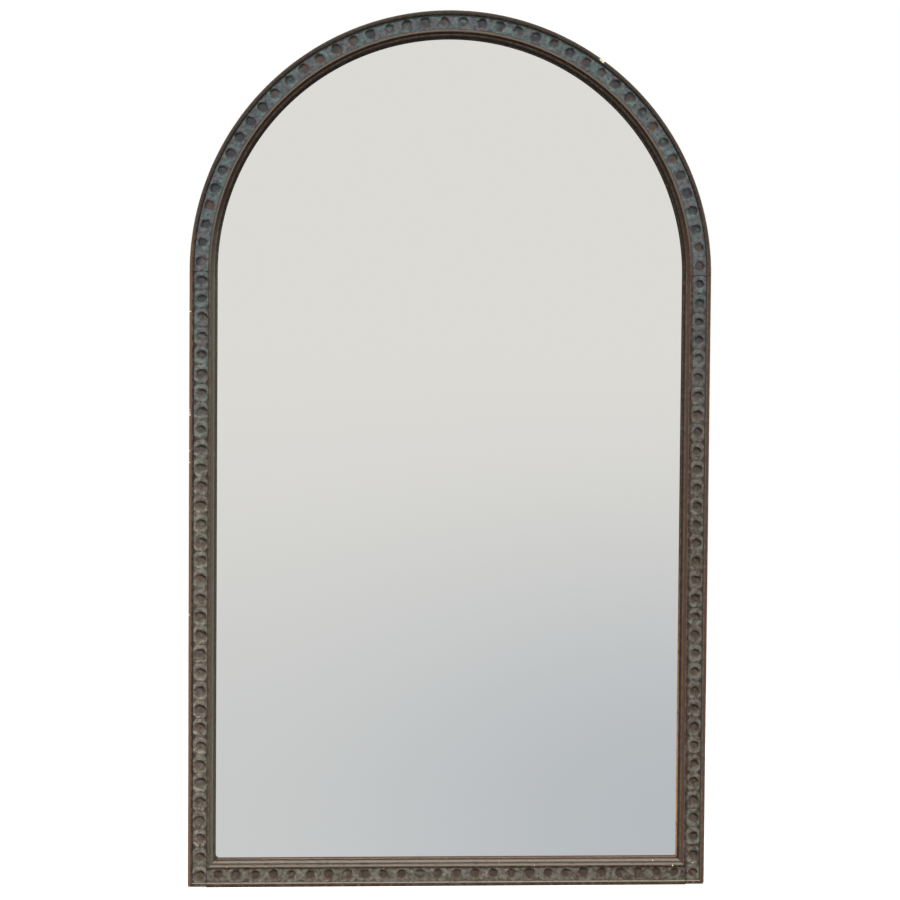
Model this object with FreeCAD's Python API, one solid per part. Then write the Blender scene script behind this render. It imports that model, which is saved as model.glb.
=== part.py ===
import FreeCAD, Part
import math
import os

from FreeCAD import Vector

# Arched wall mirror in a carved and painted softwood frame.
# Lengths are millimetres. X runs across the mirror, -Y faces the viewer and +Z is up.
# The origin is the middle of the frame's bottom edge, on its back plane.
# A moulding is drawn in two coordinates: "across", from the outer edge towards the glass,
# and "level", from the back plane towards the viewer.

# Overall size
FRAME_WIDTH = 936.0
SPRINGING_HEIGHT = 1107.0  # where the straight stiles end and the half-round arch begins
ARCH_SEGMENTS = 3

# Bands of the moulding, from the outer edge to the sight edge
RIM_WIDTH = 6.5
RIM_SLOPE = 1.8
BAND_WIDTH = 25.2
STEP_SLOPE = 0.5
FILLET_WIDTH = 4.0
GROOVE_SLOPE = 0.8
GROOVE_WIDTH = 2.6
BEAD_WIDTH = 4.5
LIP_WIDTH = 4.1

# Levels of the moulding, built up from the back plane
BOARD_INSET = 3.0  # the backboards lie this far in from the back plane
BOARD_THICKNESS = 9.0
GLASS_BLOCK_HEIGHT = 10.0
GLASS_THICKNESS = 4.0
LIP_THICKNESS = 10.0
LIP_DROP = 6.0
BAND_DROP = 3.5
FILLET_DROP = 1.5
GROOVE_DEPTH = 2.5
BEAD_RISE = 1.9
BEAD_FLATS = 4

# Stepped rebate behind the lip
GLASS_REBATE_WIDTH = 10.0
BOARD_LEDGE_WIDTH = 12.0
FOOT_CORNER_RADIUS = 3.5

# Carving: sunk roundels with a chip cut out of each side of the tie between two of them
ROUNDEL_PITCH = 33.4  # the pitch that whole numbers of roundels come closest to
ROUNDEL_RADIUS = 9.5
ROUNDEL_DEPTH = 2.6
ROUNDEL_SIDES = 16
CHIP_LENGTH = 9.0
CHIP_REACH = 6.0
CHIP_DEPTH = 2.0
CHIP_MARGIN = 0.3
CARVING_OVERRUN = 0.25

# Joints of the frame
TENON_LENGTH = 22.0
TENON_THICKNESS = 12.0
TENON_MARGIN = 5.0  # wood left below and above the tenon, within the band's width
MORTISE_CLEARANCE = 0.15
TONGUE_THICKNESS = 6.0
TONGUE_WIDTH = 24.0
TONGUE_LENGTH = 24.0
TONGUE_CLEARANCE = 0.15
TONGUE_FROM_LEDGE = 4.0
TONGUE_FROM_EDGE = 9.0

# Glass and what holds it
GLASS_CLEARANCE = 1.2
SETTING_BLOCK_LENGTH = 60.0
SETTING_BLOCK_SPACING = 420.0
GLASS_BLOCK_LENGTH = 30.0
GLASS_BLOCK_WIDTH = 8.0
GLASS_BLOCK_GAP = 0.1
BLOCKS_ON_STILE = 4
BLOCKS_ON_RAIL = 3
BLOCKS_ON_ARCH = 6

# Backboards and their cut nails
BOARD_COUNT = 5
BOARD_CLEARANCE = 0.6
BOARD_GAP = 0.4
BOARD_LAP = 6.0
NAIL_LENGTH = 24.0
NAIL_SHANK = 2.2
NAIL_HEAD = 5.0
NAIL_HEAD_THICKNESS = 1.2
NAILS_ON_STILE = 3
NAILS_ON_RAIL = 5
NAILS_ON_ARCH = 7

# Hangers: a strap with a rolled knuckle, and a ring that swings in it
STRAP_WIDTH = 13.0
STRAP_THICKNESS = 1.5
STRAP_LENGTH = 50.0
HANGER_BELOW_SPRINGING = 70.0
HANGER_ACROSS = 15.0
WIRE_RADIUS = 1.6
WIRE_SIDES = 8
TURNED_SIDES = 12  # flats round a screw, a screw hole and the knuckle
WIRE_CLEARANCE = 0.08
RING_LIFT = 0.3  # gap between the ring that hangs down and the strap under it
RING_HALF_WIDTH = 11.6
RING_LEG = 10.0
RING_CORNER = 2.4
BOW_SIDES = 6
FIRST_SCREW = 29.0
SCREW_SPACING = 14.0
SCREW_HEAD_RADIUS = 3.8
SCREW_HEAD_HEIGHT = 2.2
SCREW_RADIUS = 1.9
SCREW_LENGTH = 20.0
SCREW_HOLE_CLEARANCE = 0.1

OVERRUN = 5.0  # how far a cutting shape runs past what it cuts

# Places that follow from the sizes
HALF_WIDTH = FRAME_WIDTH / 2
BAND_START = RIM_WIDTH + RIM_SLOPE
BAND_END = BAND_START + BAND_WIDTH
BAND_CENTRE = BAND_START + BAND_WIDTH / 2
FILLET_END = BAND_END + STEP_SLOPE + FILLET_WIDTH
GROOVE_END = FILLET_END + GROOVE_SLOPE + GROOVE_WIDTH
BEAD_END = GROOVE_END + BEAD_WIDTH
SIGHT_EDGE = BEAD_END + LIP_WIDTH
GLASS_REBATE = SIGHT_EDGE - GLASS_REBATE_WIDTH
BOARD_REBATE = GLASS_REBATE - BOARD_LEDGE_WIDTH

LEDGE_LEVEL = BOARD_INSET + BOARD_THICKNESS
GLASS_BACK_LEVEL = LEDGE_LEVEL + GLASS_BLOCK_HEIGHT
LIP_BACK_LEVEL = GLASS_BACK_LEVEL + GLASS_THICKNESS
LIP_LEVEL = LIP_BACK_LEVEL + LIP_THICKNESS
RIM_LEVEL = LIP_LEVEL + LIP_DROP
BAND_LEVEL = RIM_LEVEL - BAND_DROP
FILLET_LEVEL = RIM_LEVEL - FILLET_DROP
GROOVE_LEVEL = FILLET_LEVEL - GROOVE_DEPTH
TENON_LEVEL = LEDGE_LEVEL + (BAND_LEVEL - LEDGE_LEVEL - TENON_THICKNESS) / 2
TONGUE_LEVEL = LEDGE_LEVEL + TONGUE_FROM_LEDGE

ARCH_CENTRE = Vector(0, 0, SPRINGING_HEIGHT)
ARCH_ANGLE = math.degrees(math.pi)  # the arch is a half circle
SEGMENT_ANGLE = ARCH_ANGLE / ARCH_SEGMENTS
BACK_AXIS = Vector(0, 1, 0)
UP = Vector(0, 0, 1)

KNUCKLE_OFFSET = STRAP_THICKNESS + RING_LIFT + WIRE_RADIUS
KNUCKLE_BORE = WIRE_RADIUS + WIRE_CLEARANCE
HANGER_HEIGHT = SPRINGING_HEIGHT - HANGER_BELOW_SPRINGING
HANGER_X = HALF_WIDTH - HANGER_ACROSS


# Small helpers

def write(node, shape):
    """Writes one node's STEP file."""
    shape.exportStep(os.path.join("parts", node + ".step"))


def mirrored(shape):
    """The same shape on the other side of the middle."""
    return shape.mirror(Vector(0, 0, 0), Vector(1, 0, 0))


def box(low, high):
    """A box between two corners."""
    size = high - low
    return Part.makeBox(size.x, size.y, size.z, low)


def prism(points, direction):
    """A solid pushed from a flat outline."""
    return Part.Face(Part.makePolygon(points + points[:1])).extrude(direction)


def middle_share(index, count):
    """Where the middle of one of a number of equal runs lies, as a share of their whole length."""
    return (index + 1 / 2) / count


def turned(foot, radius, run, upright):
    """A round bar with flats, from the middle of its foot; upright points at the middle of a flat."""
    sideways = run.cross(upright).normalize()
    corner_radius = radius / math.cos(math.pi / TURNED_SIDES)
    outline = []
    for side in range(TURNED_SIDES):
        angle = 2 * math.pi * middle_share(side, TURNED_SIDES)
        outline.append(foot + (upright * math.cos(angle) + sideways * math.sin(angle)) * corner_radius)
    return prism(outline, run)


def solid_from_faces(outlines):
    """A closed solid from flat outlines."""
    faces = [Part.Face(Part.makePolygon(outline + outline[:1])) for outline in outlines]
    solid = Part.makeSolid(Part.makeShell(faces))
    if solid.Volume < 0:
        solid.reverse()
    return solid


def round_the_arch(shape, angle):
    """A shape made at the left springing, moved round the arch by an angle in degrees."""
    moved = shape.copy()
    moved.rotate(ARCH_CENTRE, BACK_AXIS, angle)
    return moved


# The moulding's section and what runs along it

def stile_point(across, level, height):
    """A point of the left stile, from its place across and up the moulding."""
    return Vector(across - HALF_WIDTH, -level, height)


def rail_point(across, level, along):
    """A point of the bottom rail, whose outer edge is the frame's bottom edge."""
    return Vector(along, -level, across)


def moulding_section(place, along):
    """The moulding's section as a face, at one place along a stile or the rail."""
    def at(across, level):
        return place(across, level, along)

    outline = [
        at(0, 0),
        at(0, RIM_LEVEL),
        at(RIM_WIDTH, RIM_LEVEL),
        at(BAND_START, BAND_LEVEL),
        at(BAND_END, BAND_LEVEL),
        at(BAND_END + STEP_SLOPE, FILLET_LEVEL),
        at(FILLET_END, FILLET_LEVEL),
        at(FILLET_END + GROOVE_SLOPE, GROOVE_LEVEL),
    ]
    for index in range(BEAD_FLATS + 1):
        angle = math.pi * index / BEAD_FLATS
        across = GROOVE_END + BEAD_WIDTH / 2 * (1 - math.cos(angle))
        outline.append(at(across, GROOVE_LEVEL + BEAD_RISE * math.sin(angle)))
    outline += [
        at(BEAD_END, LIP_LEVEL),
        at(SIGHT_EDGE, LIP_LEVEL),
        at(SIGHT_EDGE, LIP_BACK_LEVEL),
        at(GLASS_REBATE, LIP_BACK_LEVEL),
        at(GLASS_REBATE, LEDGE_LEVEL),
        at(BOARD_REBATE, LEDGE_LEVEL),
        at(BOARD_REBATE, 0),
    ]
    return Part.Face(Part.makePolygon(outline + outline[:1]))


def roundel_cutter(place, along):
    """A shallow round dish, sunk in the middle of the band."""
    reach = (ROUNDEL_DEPTH + CARVING_OVERRUN) / ROUNDEL_DEPTH
    bottom = place(BAND_CENTRE, BAND_LEVEL - ROUNDEL_DEPTH, along)
    brim = []
    for side in range(ROUNDEL_SIDES):
        angle = 2 * math.pi * middle_share(side, ROUNDEL_SIDES)
        across = BAND_CENTRE + ROUNDEL_RADIUS * reach * math.cos(angle)
        sideways = ROUNDEL_RADIUS * reach * math.sin(angle)
        brim.append(place(across, BAND_LEVEL + CARVING_OVERRUN, along + sideways))
    slopes = [[bottom, brim[side - 1], brim[side]] for side in range(ROUNDEL_SIDES)]
    return solid_from_faces([brim] + slopes)


def chip_cutter(place, edge, inward, along):
    """A three-sided chip with its long side by the band's edge; inward is +1 or -1 across."""
    reach = (CHIP_DEPTH + CARVING_OVERRUN) / CHIP_DEPTH
    foot = edge + inward * CHIP_MARGIN
    top = BAND_LEVEL + CARVING_OVERRUN
    half = CHIP_LENGTH / 2 * reach
    deep = place(foot, BAND_LEVEL - CHIP_DEPTH, along)
    low = place(foot, top, along - half)
    high = place(foot, top, along + half)
    point = place(foot + inward * CHIP_REACH * reach, top, along)
    return solid_from_faces([[deep, low, high], [deep, high, point], [deep, point, low], [low, point, high]])


def tie_cutters(place, along):
    """Both chips of the tie between two roundels."""
    outer = chip_cutter(place, BAND_START, 1, along)
    inner = chip_cutter(place, BAND_END, -1, along)
    return [outer, inner]


def whole_pitches(length):
    """How many roundels a length of band takes."""
    return max(1, round(length / ROUNDEL_PITCH))


def segment_roundels():
    """How many roundels one arch segment takes."""
    return whole_pitches(math.radians(SEGMENT_ANGLE) * (HALF_WIDTH - BAND_CENTRE))


# Stiles

def rail_territory():
    """The corner that the rail fills: a butt at the band, then a mitre through the inner mouldings."""
    far = SIGHT_EDGE + OVERRUN
    corners = [(BAND_END, -OVERRUN), (BAND_END, BAND_END), (far, far), (far, -OVERRUN)]
    outline = [stile_point(across, LEDGE_LEVEL, height) for across, height in corners]
    return prism(outline, Vector(0, LEDGE_LEVEL - RIM_LEVEL - OVERRUN, 0))


def tenon(clearance):
    """The rail's left tenon, or its mortise when a clearance is given."""
    low = stile_point(BAND_END - TENON_LENGTH - clearance, TENON_LEVEL + TENON_THICKNESS + clearance,
                      BAND_START + TENON_MARGIN - clearance)
    high = stile_point(BAND_END, TENON_LEVEL - clearance, BAND_END - TENON_MARGIN + clearance)
    return box(low, high)


def tongue(clearance):
    """The loose tongue of the left springing, or its slot when a clearance is given."""
    low = stile_point(TONGUE_FROM_EDGE - clearance, TONGUE_LEVEL + TONGUE_THICKNESS + clearance,
                      SPRINGING_HEIGHT - TONGUE_LENGTH / 2 - clearance)
    high = stile_point(TONGUE_FROM_EDGE + TONGUE_WIDTH + clearance, TONGUE_LEVEL - clearance,
                       SPRINGING_HEIGHT + TONGUE_LENGTH / 2 + clearance)
    return box(low, high)


def foot_rim():
    """The rim's return along the foot of the stile, under the corner roundel."""
    profile = [(0, LEDGE_LEVEL), (0, RIM_LEVEL), (RIM_WIDTH, RIM_LEVEL),
               (BAND_START, BAND_LEVEL), (BAND_START, LEDGE_LEVEL)]
    outline = [stile_point(0, level, height) for height, level in profile]
    return prism(outline, Vector(BAND_END, 0, 0))


def left_stile():
    """The whole left stile, with its carving, its mortise and its holes."""
    stile = moulding_section(stile_point, 0).extrude(Vector(0, 0, SPRINGING_HEIGHT))
    stile = stile.cut(rail_territory()).fuse(foot_rim()).removeSplitter()
    foot_edges = [edge for edge in stile.Edges if is_foot_corner(edge)]
    stile = stile.makeFillet(FOOT_CORNER_RADIUS, foot_edges)
    cutters = [tenon(MORTISE_CLEARANCE), tongue(TONGUE_CLEARANCE)]
    count = whole_pitches(SPRINGING_HEIGHT - BAND_CENTRE)
    # The last tie stands at the springing, half a pitch above the last roundel.
    pitch = (SPRINGING_HEIGHT - BAND_CENTRE) / (count - 1 / 2)
    for index in range(count):
        height = BAND_CENTRE + index * pitch
        cutters.append(roundel_cutter(stile_point, height))
        cutters.extend(tie_cutters(stile_point, height + pitch / 2))
    return stile.cut(cutters)


def is_foot_corner(edge):
    """Whether an edge is the stile's outer bottom corner, which runs from back to front."""
    ends = [vertex.Point for vertex in edge.Vertexes]
    corner = stile_point(0, 0, 0)
    return all(abs(end.x - corner.x) + abs(end.z - corner.z) < CARVING_OVERRUN for end in ends)


# Rail

def bottom_rail():
    """The rail, with a tenon at each end and its long shoulders at the back."""
    moulding = moulding_section(rail_point, -HALF_WIDTH).extrude(Vector(FRAME_WIDTH, 0, 0))
    corner = rail_territory()
    inner = box(stile_point(SIGHT_EDGE, RIM_LEVEL + OVERRUN, -OVERRUN),
                Vector(HALF_WIDTH - SIGHT_EDGE, -LEDGE_LEVEL, SIGHT_EDGE + OVERRUN))
    front = moulding.common(inner.multiFuse([corner, mirrored(corner)]))
    back = moulding.common(box(stile_point(BOARD_REBATE, LEDGE_LEVEL, -OVERRUN),
                               Vector(HALF_WIDTH - BOARD_REBATE, OVERRUN, SIGHT_EDGE)))
    left_tenon = tenon(0)
    rail = front.multiFuse([back, left_tenon, mirrored(left_tenon)]).removeSplitter()
    span = 2 * (HALF_WIDTH - BAND_CENTRE)
    count = whole_pitches(span) - 1
    pitch = span / (count + 1)
    cutters = []
    for index in range(count + 1):
        along = BAND_CENTRE - HALF_WIDTH + index * pitch
        cutters.extend(tie_cutters(rail_point, along + pitch / 2))
        if index > 0:
            cutters.append(roundel_cutter(rail_point, along))
    return rail.cut(cutters)


# Arch

def arch_segment(first_angle):
    """One segment of the arch, starting at an angle above the left springing."""
    segment = moulding_section(stile_point, SPRINGING_HEIGHT).revolve(ARCH_CENTRE, BACK_AXIS, SEGMENT_ANGLE)
    slot = tongue(TONGUE_CLEARANCE)
    cutters = [slot, round_the_arch(slot, SEGMENT_ANGLE)]
    count = segment_roundels()
    pitch = SEGMENT_ANGLE / count
    roundel = roundel_cutter(stile_point, SPRINGING_HEIGHT)
    ties = tie_cutters(stile_point, SPRINGING_HEIGHT)
    for index in range(count):
        cutters.append(round_the_arch(roundel, SEGMENT_ANGLE * middle_share(index, count)))
    for index in range(count + 1):
        cutters.extend(round_the_arch(chip, index * pitch) for chip in ties)
    return round_the_arch(segment.cut(cutters), first_angle)


# Glass, blocks and boards

def arched_plate(across, foot, back_level, front_level):
    """A plate with a half-round top, its edge a distance across the moulding, its foot at a height."""
    radius = HALF_WIDTH - across
    left_foot = Vector(-radius, -back_level, foot)
    right_foot = Vector(radius, -back_level, foot)
    left_top = Vector(-radius, -back_level, SPRINGING_HEIGHT)
    right_top = Vector(radius, -back_level, SPRINGING_HEIGHT)
    crown = Vector(0, -back_level, SPRINGING_HEIGHT + radius)
    edges = [
        Part.LineSegment(left_foot, left_top).toShape(),
        Part.Arc(left_top, crown, right_top).toShape(),
        Part.LineSegment(right_top, right_foot).toShape(),
        Part.LineSegment(right_foot, left_foot).toShape(),
    ]
    return Part.Face(Part.Wire(edges)).extrude(Vector(0, back_level - front_level, 0))


def mirror_glass():
    """The silvered plate, which stands on the setting blocks and lies against the lip."""
    foot = GLASS_REBATE + GLASS_CLEARANCE
    return arched_plate(GLASS_REBATE + GLASS_CLEARANCE, foot, GLASS_BACK_LEVEL, LIP_BACK_LEVEL)


def setting_blocks():
    """Two thin pads between the rail's rebate and the foot of the glass."""
    pads = []
    for side in (-1, 1):
        middle = side * SETTING_BLOCK_SPACING / 2
        low = Vector(middle - SETTING_BLOCK_LENGTH / 2, -LIP_BACK_LEVEL, GLASS_REBATE)
        high = Vector(middle + SETTING_BLOCK_LENGTH / 2, -GLASS_BACK_LEVEL, GLASS_REBATE + GLASS_CLEARANCE)
        pads.append(box(low, high))
    return pads


def glass_block(place, along):
    """A three-cornered block on the back of the glass, glued to the rebate's side."""
    foot = GLASS_REBATE + GLASS_BLOCK_GAP
    corners = [(foot, LEDGE_LEVEL), (foot, GLASS_BACK_LEVEL), (foot + GLASS_BLOCK_WIDTH, GLASS_BACK_LEVEL)]
    start = along - GLASS_BLOCK_LENGTH / 2
    outline = [place(across, level, start) for across, level in corners]
    run = place(0, 0, start + GLASS_BLOCK_LENGTH) - place(0, 0, start)
    return prism(outline, run)


def glass_blocks():
    """All the glass blocks, spaced evenly along the stiles, the rail and the arch."""
    blocks = []
    straight = SPRINGING_HEIGHT - SIGHT_EDGE
    for index in range(BLOCKS_ON_STILE):
        block = glass_block(stile_point, SIGHT_EDGE + straight * middle_share(index, BLOCKS_ON_STILE))
        blocks.extend([block, mirrored(block)])
    width = 2 * (HALF_WIDTH - SIGHT_EDGE)
    for index in range(BLOCKS_ON_RAIL):
        from_corner = width * middle_share(index, BLOCKS_ON_RAIL)
        blocks.append(glass_block(rail_point, SIGHT_EDGE - HALF_WIDTH + from_corner))
    # On the round rebate a straight block touches at its two ends.
    radius = HALF_WIDTH - GLASS_REBATE
    hollow = radius - math.sqrt(radius ** 2 - (GLASS_BLOCK_LENGTH / 2) ** 2)
    first = glass_block(stile_point, SPRINGING_HEIGHT)
    first.translate(Vector(hollow, 0, 0))
    for index in range(BLOCKS_ON_ARCH):
        blocks.append(round_the_arch(first, ARCH_ANGLE * middle_share(index, BLOCKS_ON_ARCH)))
    return blocks


def backboards():
    """Upright boards with lapped edges, their tops cut to the arch."""
    across = BOARD_REBATE + BOARD_CLEARANCE
    half = HALF_WIDTH - across
    middle_level = BOARD_INSET + BOARD_THICKNESS / 2
    front_plate = arched_plate(across, across, middle_level, LEDGE_LEVEL)
    back_plate = arched_plate(across, across, BOARD_INSET, middle_level)
    top = SPRINGING_HEIGHT + HALF_WIDTH
    board_width = 2 * half / BOARD_COUNT
    boards = []
    for index in range(BOARD_COUNT):
        left = -half + index * board_width
        right = left + board_width
        first = index == 0
        last = index == BOARD_COUNT - 1
        front_left = left - OVERRUN if first else left + BOARD_GAP / 2
        front_right = right + OVERRUN if last else right - BOARD_GAP / 2
        back_left = front_left if first else front_left + BOARD_LAP
        back_right = front_right if last else front_right + BOARD_LAP
        front = front_plate.common(box(Vector(front_left, -RIM_LEVEL, 0), Vector(front_right, 0, top)))
        back = back_plate.common(box(Vector(back_left, -RIM_LEVEL, 0), Vector(back_right, 0, top)))
        boards.append(front.fuse(back).removeSplitter())
    return boards


def nail(place, along):
    """A cut nail through a board into the ledge, its head on the board's back."""
    across = (BOARD_REBATE + GLASS_REBATE) / 2
    half_shank = NAIL_SHANK / 2
    half_head = NAIL_HEAD / 2

    def block(half, back_level, front_level):
        ends = [place(across - half, back_level, along - half), place(across + half, front_level, along + half)]
        low = Vector(*(min(end[axis] for end in ends) for axis in range(3)))
        high = Vector(*(max(end[axis] for end in ends) for axis in range(3)))
        return box(low, high)

    shank = block(half_shank, BOARD_INSET, BOARD_INSET + NAIL_LENGTH)
    head = block(half_head, BOARD_INSET - NAIL_HEAD_THICKNESS, BOARD_INSET)
    return shank.fuse(head).removeSplitter()


def backboard_nails():
    """All the nails, spaced evenly along the stiles, the rail and the arch."""
    nails = []
    straight = SPRINGING_HEIGHT - SIGHT_EDGE
    for index in range(NAILS_ON_STILE):
        driven = nail(stile_point, SIGHT_EDGE + straight * middle_share(index, NAILS_ON_STILE))
        nails.extend([driven, mirrored(driven)])
    width = 2 * (HALF_WIDTH - SIGHT_EDGE)
    for index in range(NAILS_ON_RAIL):
        from_corner = width * middle_share(index, NAILS_ON_RAIL)
        nails.append(nail(rail_point, SIGHT_EDGE - HALF_WIDTH + from_corner))
    first = nail(stile_point, SPRINGING_HEIGHT)
    for index in range(NAILS_ON_ARCH):
        nails.append(round_the_arch(first, ARCH_ANGLE * middle_share(index, NAILS_ON_ARCH)))
    return nails


# Hangers

def hanger_point(side, behind, up):
    """A point of the left hanger, from its place beside, behind and above the hinge axis."""
    return Vector(side - HANGER_X, behind, HANGER_HEIGHT + up)


def screw_drops():
    """How far each screw lies below the hinge axis."""
    return [FIRST_SCREW, FIRST_SCREW + SCREW_SPACING]


def left_screws():
    """The left strap's two screws, each a flat round head on a plain shank."""
    screws = []
    for drop in screw_drops():
        head_foot = hanger_point(0, STRAP_THICKNESS, -drop)
        head = turned(head_foot, SCREW_HEAD_RADIUS, BACK_AXIS * SCREW_HEAD_HEIGHT, UP)
        shank = turned(head_foot, SCREW_RADIUS, -BACK_AXIS * SCREW_LENGTH, UP)
        screws.append(head.fuse(shank).removeSplitter())
    return screws


def left_strap():
    """A flat strap with a round foot, rolled into a knuckle at its top."""
    half = STRAP_WIDTH / 2
    plate = box(hanger_point(-half, 0, half - STRAP_LENGTH), hanger_point(half, STRAP_THICKNESS, 0))
    through = BACK_AXIS * STRAP_THICKNESS
    foot = turned(hanger_point(0, 0, half - STRAP_LENGTH), half, through, UP)
    axis_end = hanger_point(-half, KNUCKLE_OFFSET, 0)
    run = Vector(STRAP_WIDTH, 0, 0)
    knuckle = turned(axis_end, KNUCKLE_BORE + STRAP_THICKNESS, run, UP)
    bore = turned(axis_end, KNUCKLE_BORE, run, UP)
    holes = []
    for drop in screw_drops():
        holes.append(turned(hanger_point(0, 0, -drop), SCREW_RADIUS + SCREW_HOLE_CLEARANCE, through, UP))
    return plate.multiFuse([foot, knuckle]).removeSplitter().cut([bore] + holes)


def ring_path():
    """The wire's centre line: a bar through the knuckle, two legs and a round bow, hanging down."""
    wide = RING_HALF_WIDTH
    points = [(RING_CORNER - wide, 0), (-wide, -RING_CORNER)]
    for index in range(BOW_SIDES + 1):
        angle = math.pi * index / BOW_SIDES
        points.append((-wide * math.cos(angle), -RING_LEG - wide * math.sin(angle)))
    points += [(wide, -RING_CORNER), (wide - RING_CORNER, 0)]
    return [hanger_point(side, KNUCKLE_OFFSET, up) for side, up in points]


def left_ring():
    """The wire ring, in straight runs with mitred corners, its section a regular outline."""
    path = ring_path()
    sections = []
    for index, corner in enumerate(path):
        before = (corner - path[index - 1]).normalize()
        after = (path[(index + 1) % len(path)] - corner).normalize()
        outward = (before - after).normalize()
        stretch = 1 / before.cross(outward).Length
        section = []
        for side in range(WIRE_SIDES):
            angle = 2 * math.pi * middle_share(side, WIRE_SIDES)
            flat = outward * (WIRE_RADIUS * stretch * math.cos(angle))
            section.append(corner + flat + BACK_AXIS * (WIRE_RADIUS * math.sin(angle)))
        sections.append(section)
    outlines = []
    for index, section in enumerate(sections):
        following = sections[(index + 1) % len(sections)]
        for side in range(WIRE_SIDES):
            after = (side + 1) % WIRE_SIDES
            outlines.append([section[side], section[after], following[after], following[side]])
    return solid_from_faces(outlines)


def main():
    """Builds every node and writes its file."""
    os.makedirs("parts", exist_ok=True)

    nails = backboard_nails()
    screws = left_screws()
    left_strap_shape = left_strap()
    left_ring_shape = left_ring()

    stile = left_stile().cut(screws)
    write("left_stile", stile.cut(nails))
    write("right_stile", mirrored(stile).cut(nails))
    write("bottom_rail", bottom_rail().cut(nails))
    for index, name in enumerate(["arch_left", "arch_crown", "arch_right"]):
        write(name, arch_segment(index * SEGMENT_ANGLE).cut(nails))

    joint_names = ["left_springing", "left_haunch", "right_haunch", "right_springing"]
    for index, name in enumerate(joint_names):
        write("tongue_" + name, round_the_arch(tongue(0), index * SEGMENT_ANGLE))

    write("mirror_glass", mirror_glass())
    write("setting_blocks", Part.makeCompound(setting_blocks()))
    write("glass_blocks", Part.makeCompound(glass_blocks()))
    for index, board in enumerate(backboards()):
        write("backboard_" + str(index + 1), board.cut(nails))
    write("backboard_nails", Part.makeCompound(nails))

    write("left_hanger_strap", left_strap_shape)
    write("right_hanger_strap", mirrored(left_strap_shape))
    write("left_hanger_ring", left_ring_shape)
    write("right_hanger_ring", mirrored(left_ring_shape))
    write("hanger_screws", Part.makeCompound(screws + [mirrored(screw) for screw in screws]))


main()
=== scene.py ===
"""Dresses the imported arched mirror: carved and painted moulding, silvered glass, backboards and hangers."""

import logging
import math
import random
from dataclasses import dataclass, field
from enum import Enum
from typing import Any, Callable, Sequence

import bmesh
import bpy
from mathutils import Matrix, Vector, noise


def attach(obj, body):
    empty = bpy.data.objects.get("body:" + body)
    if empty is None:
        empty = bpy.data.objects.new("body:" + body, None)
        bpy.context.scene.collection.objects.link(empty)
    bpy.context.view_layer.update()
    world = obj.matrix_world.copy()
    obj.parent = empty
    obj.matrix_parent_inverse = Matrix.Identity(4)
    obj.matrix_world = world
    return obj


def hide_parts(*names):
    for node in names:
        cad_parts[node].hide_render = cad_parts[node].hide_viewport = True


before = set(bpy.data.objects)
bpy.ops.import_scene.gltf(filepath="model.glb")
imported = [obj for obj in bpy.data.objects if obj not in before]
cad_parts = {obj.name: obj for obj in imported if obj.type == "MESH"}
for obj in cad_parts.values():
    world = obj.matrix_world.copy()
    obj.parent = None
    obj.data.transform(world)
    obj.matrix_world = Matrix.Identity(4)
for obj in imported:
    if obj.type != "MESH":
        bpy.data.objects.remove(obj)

LOG = logging.getLogger("arched_mirror")
MM = 0.001
NEAR = 0.02  # how close to a flat end face a point on it lies, in millimetres
FAR = 9.0  # a distance from the joints at which none darkens the paint, in millimetres

Colour = tuple[float, float, float, float]


def srgb(red: int, green: int, blue: int) -> Colour:
    """A screen colour of 0 to 255 as the linear colour that Blender takes.

    Args:
        red: the red share.
        green: the green share.
        blue: the blue share.

    Returns:
        The linear colour with an alpha of one.
    """
    linear = []
    for share in (red, green, blue):
        value = share / 255
        linear.append(value / 12.92 if value <= 0.04045 else ((value + 0.055) / 1.055) ** 2.4)
    return linear[0], linear[1], linear[2], 1.0


def smooth_step(value: float, low: float, high: float) -> float:
    """A share that rises smoothly from 0, where a value is low, to 1, where it is high."""
    share = min(1.0, max(0.0, (value - low) / (high - low)))
    return share * share * (3 - 2 * share)


# Shader maths

class Wire:
    """One value in a shader graph. Operators on it add the Math nodes that work it out."""

    def __init__(self, graph: "Graph", socket: bpy.types.NodeSocket) -> None:
        """Keeps the graph and the output socket."""
        self.graph = graph
        self.socket = socket

    def math(self, operation: str, *others: Any) -> "Wire":
        """The result of a Math node whose first input is this wire."""
        inputs = dict(enumerate((self, *others)))
        return self.graph.node("ShaderNodeMath", {"operation": operation}, inputs)

    def __add__(self, other: Any) -> "Wire":
        """The sum."""
        return self.math("ADD", other)

    __radd__ = __add__

    def __mul__(self, other: Any) -> "Wire":
        """The product."""
        return self.math("MULTIPLY", other)

    __rmul__ = __mul__

    def __sub__(self, other: Any) -> "Wire":
        """The difference."""
        return self.math("SUBTRACT", other)

    def __rsub__(self, other: Any) -> "Wire":
        """The difference from a number on the left."""
        return self.graph.node("ShaderNodeMath", {"operation": "SUBTRACT"}, {0: other, 1: self})

    def maximum(self, other: Any) -> "Wire":
        """The larger of two values."""
        return self.math("MAXIMUM", other)

    def step(self, low: float, high: float) -> "Wire":
        """A share that rises smoothly from 0 at low to 1 at high.

        Args:
            low: where the share is 0.
            high: where the share is 1; it may lie below low.

        Returns:
            The share.
        """
        settings = {"interpolation_type": "SMOOTHSTEP", "clamp": True}
        backwards = low > high
        ends = {1: high, 2: low} if backwards else {1: low, 2: high}
        share = self.graph.node("ShaderNodeMapRange", settings, {0: self, **ends, 3: 0.0, 4: 1.0})
        return 1 - share if backwards else share

    def between(self, low: float, high: float, soft: float) -> "Wire":
        """A share that is 1 between two values and fades over a soft run on either side of them."""
        return self.step(low - soft, low) * self.step(high + soft, high)


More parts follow.
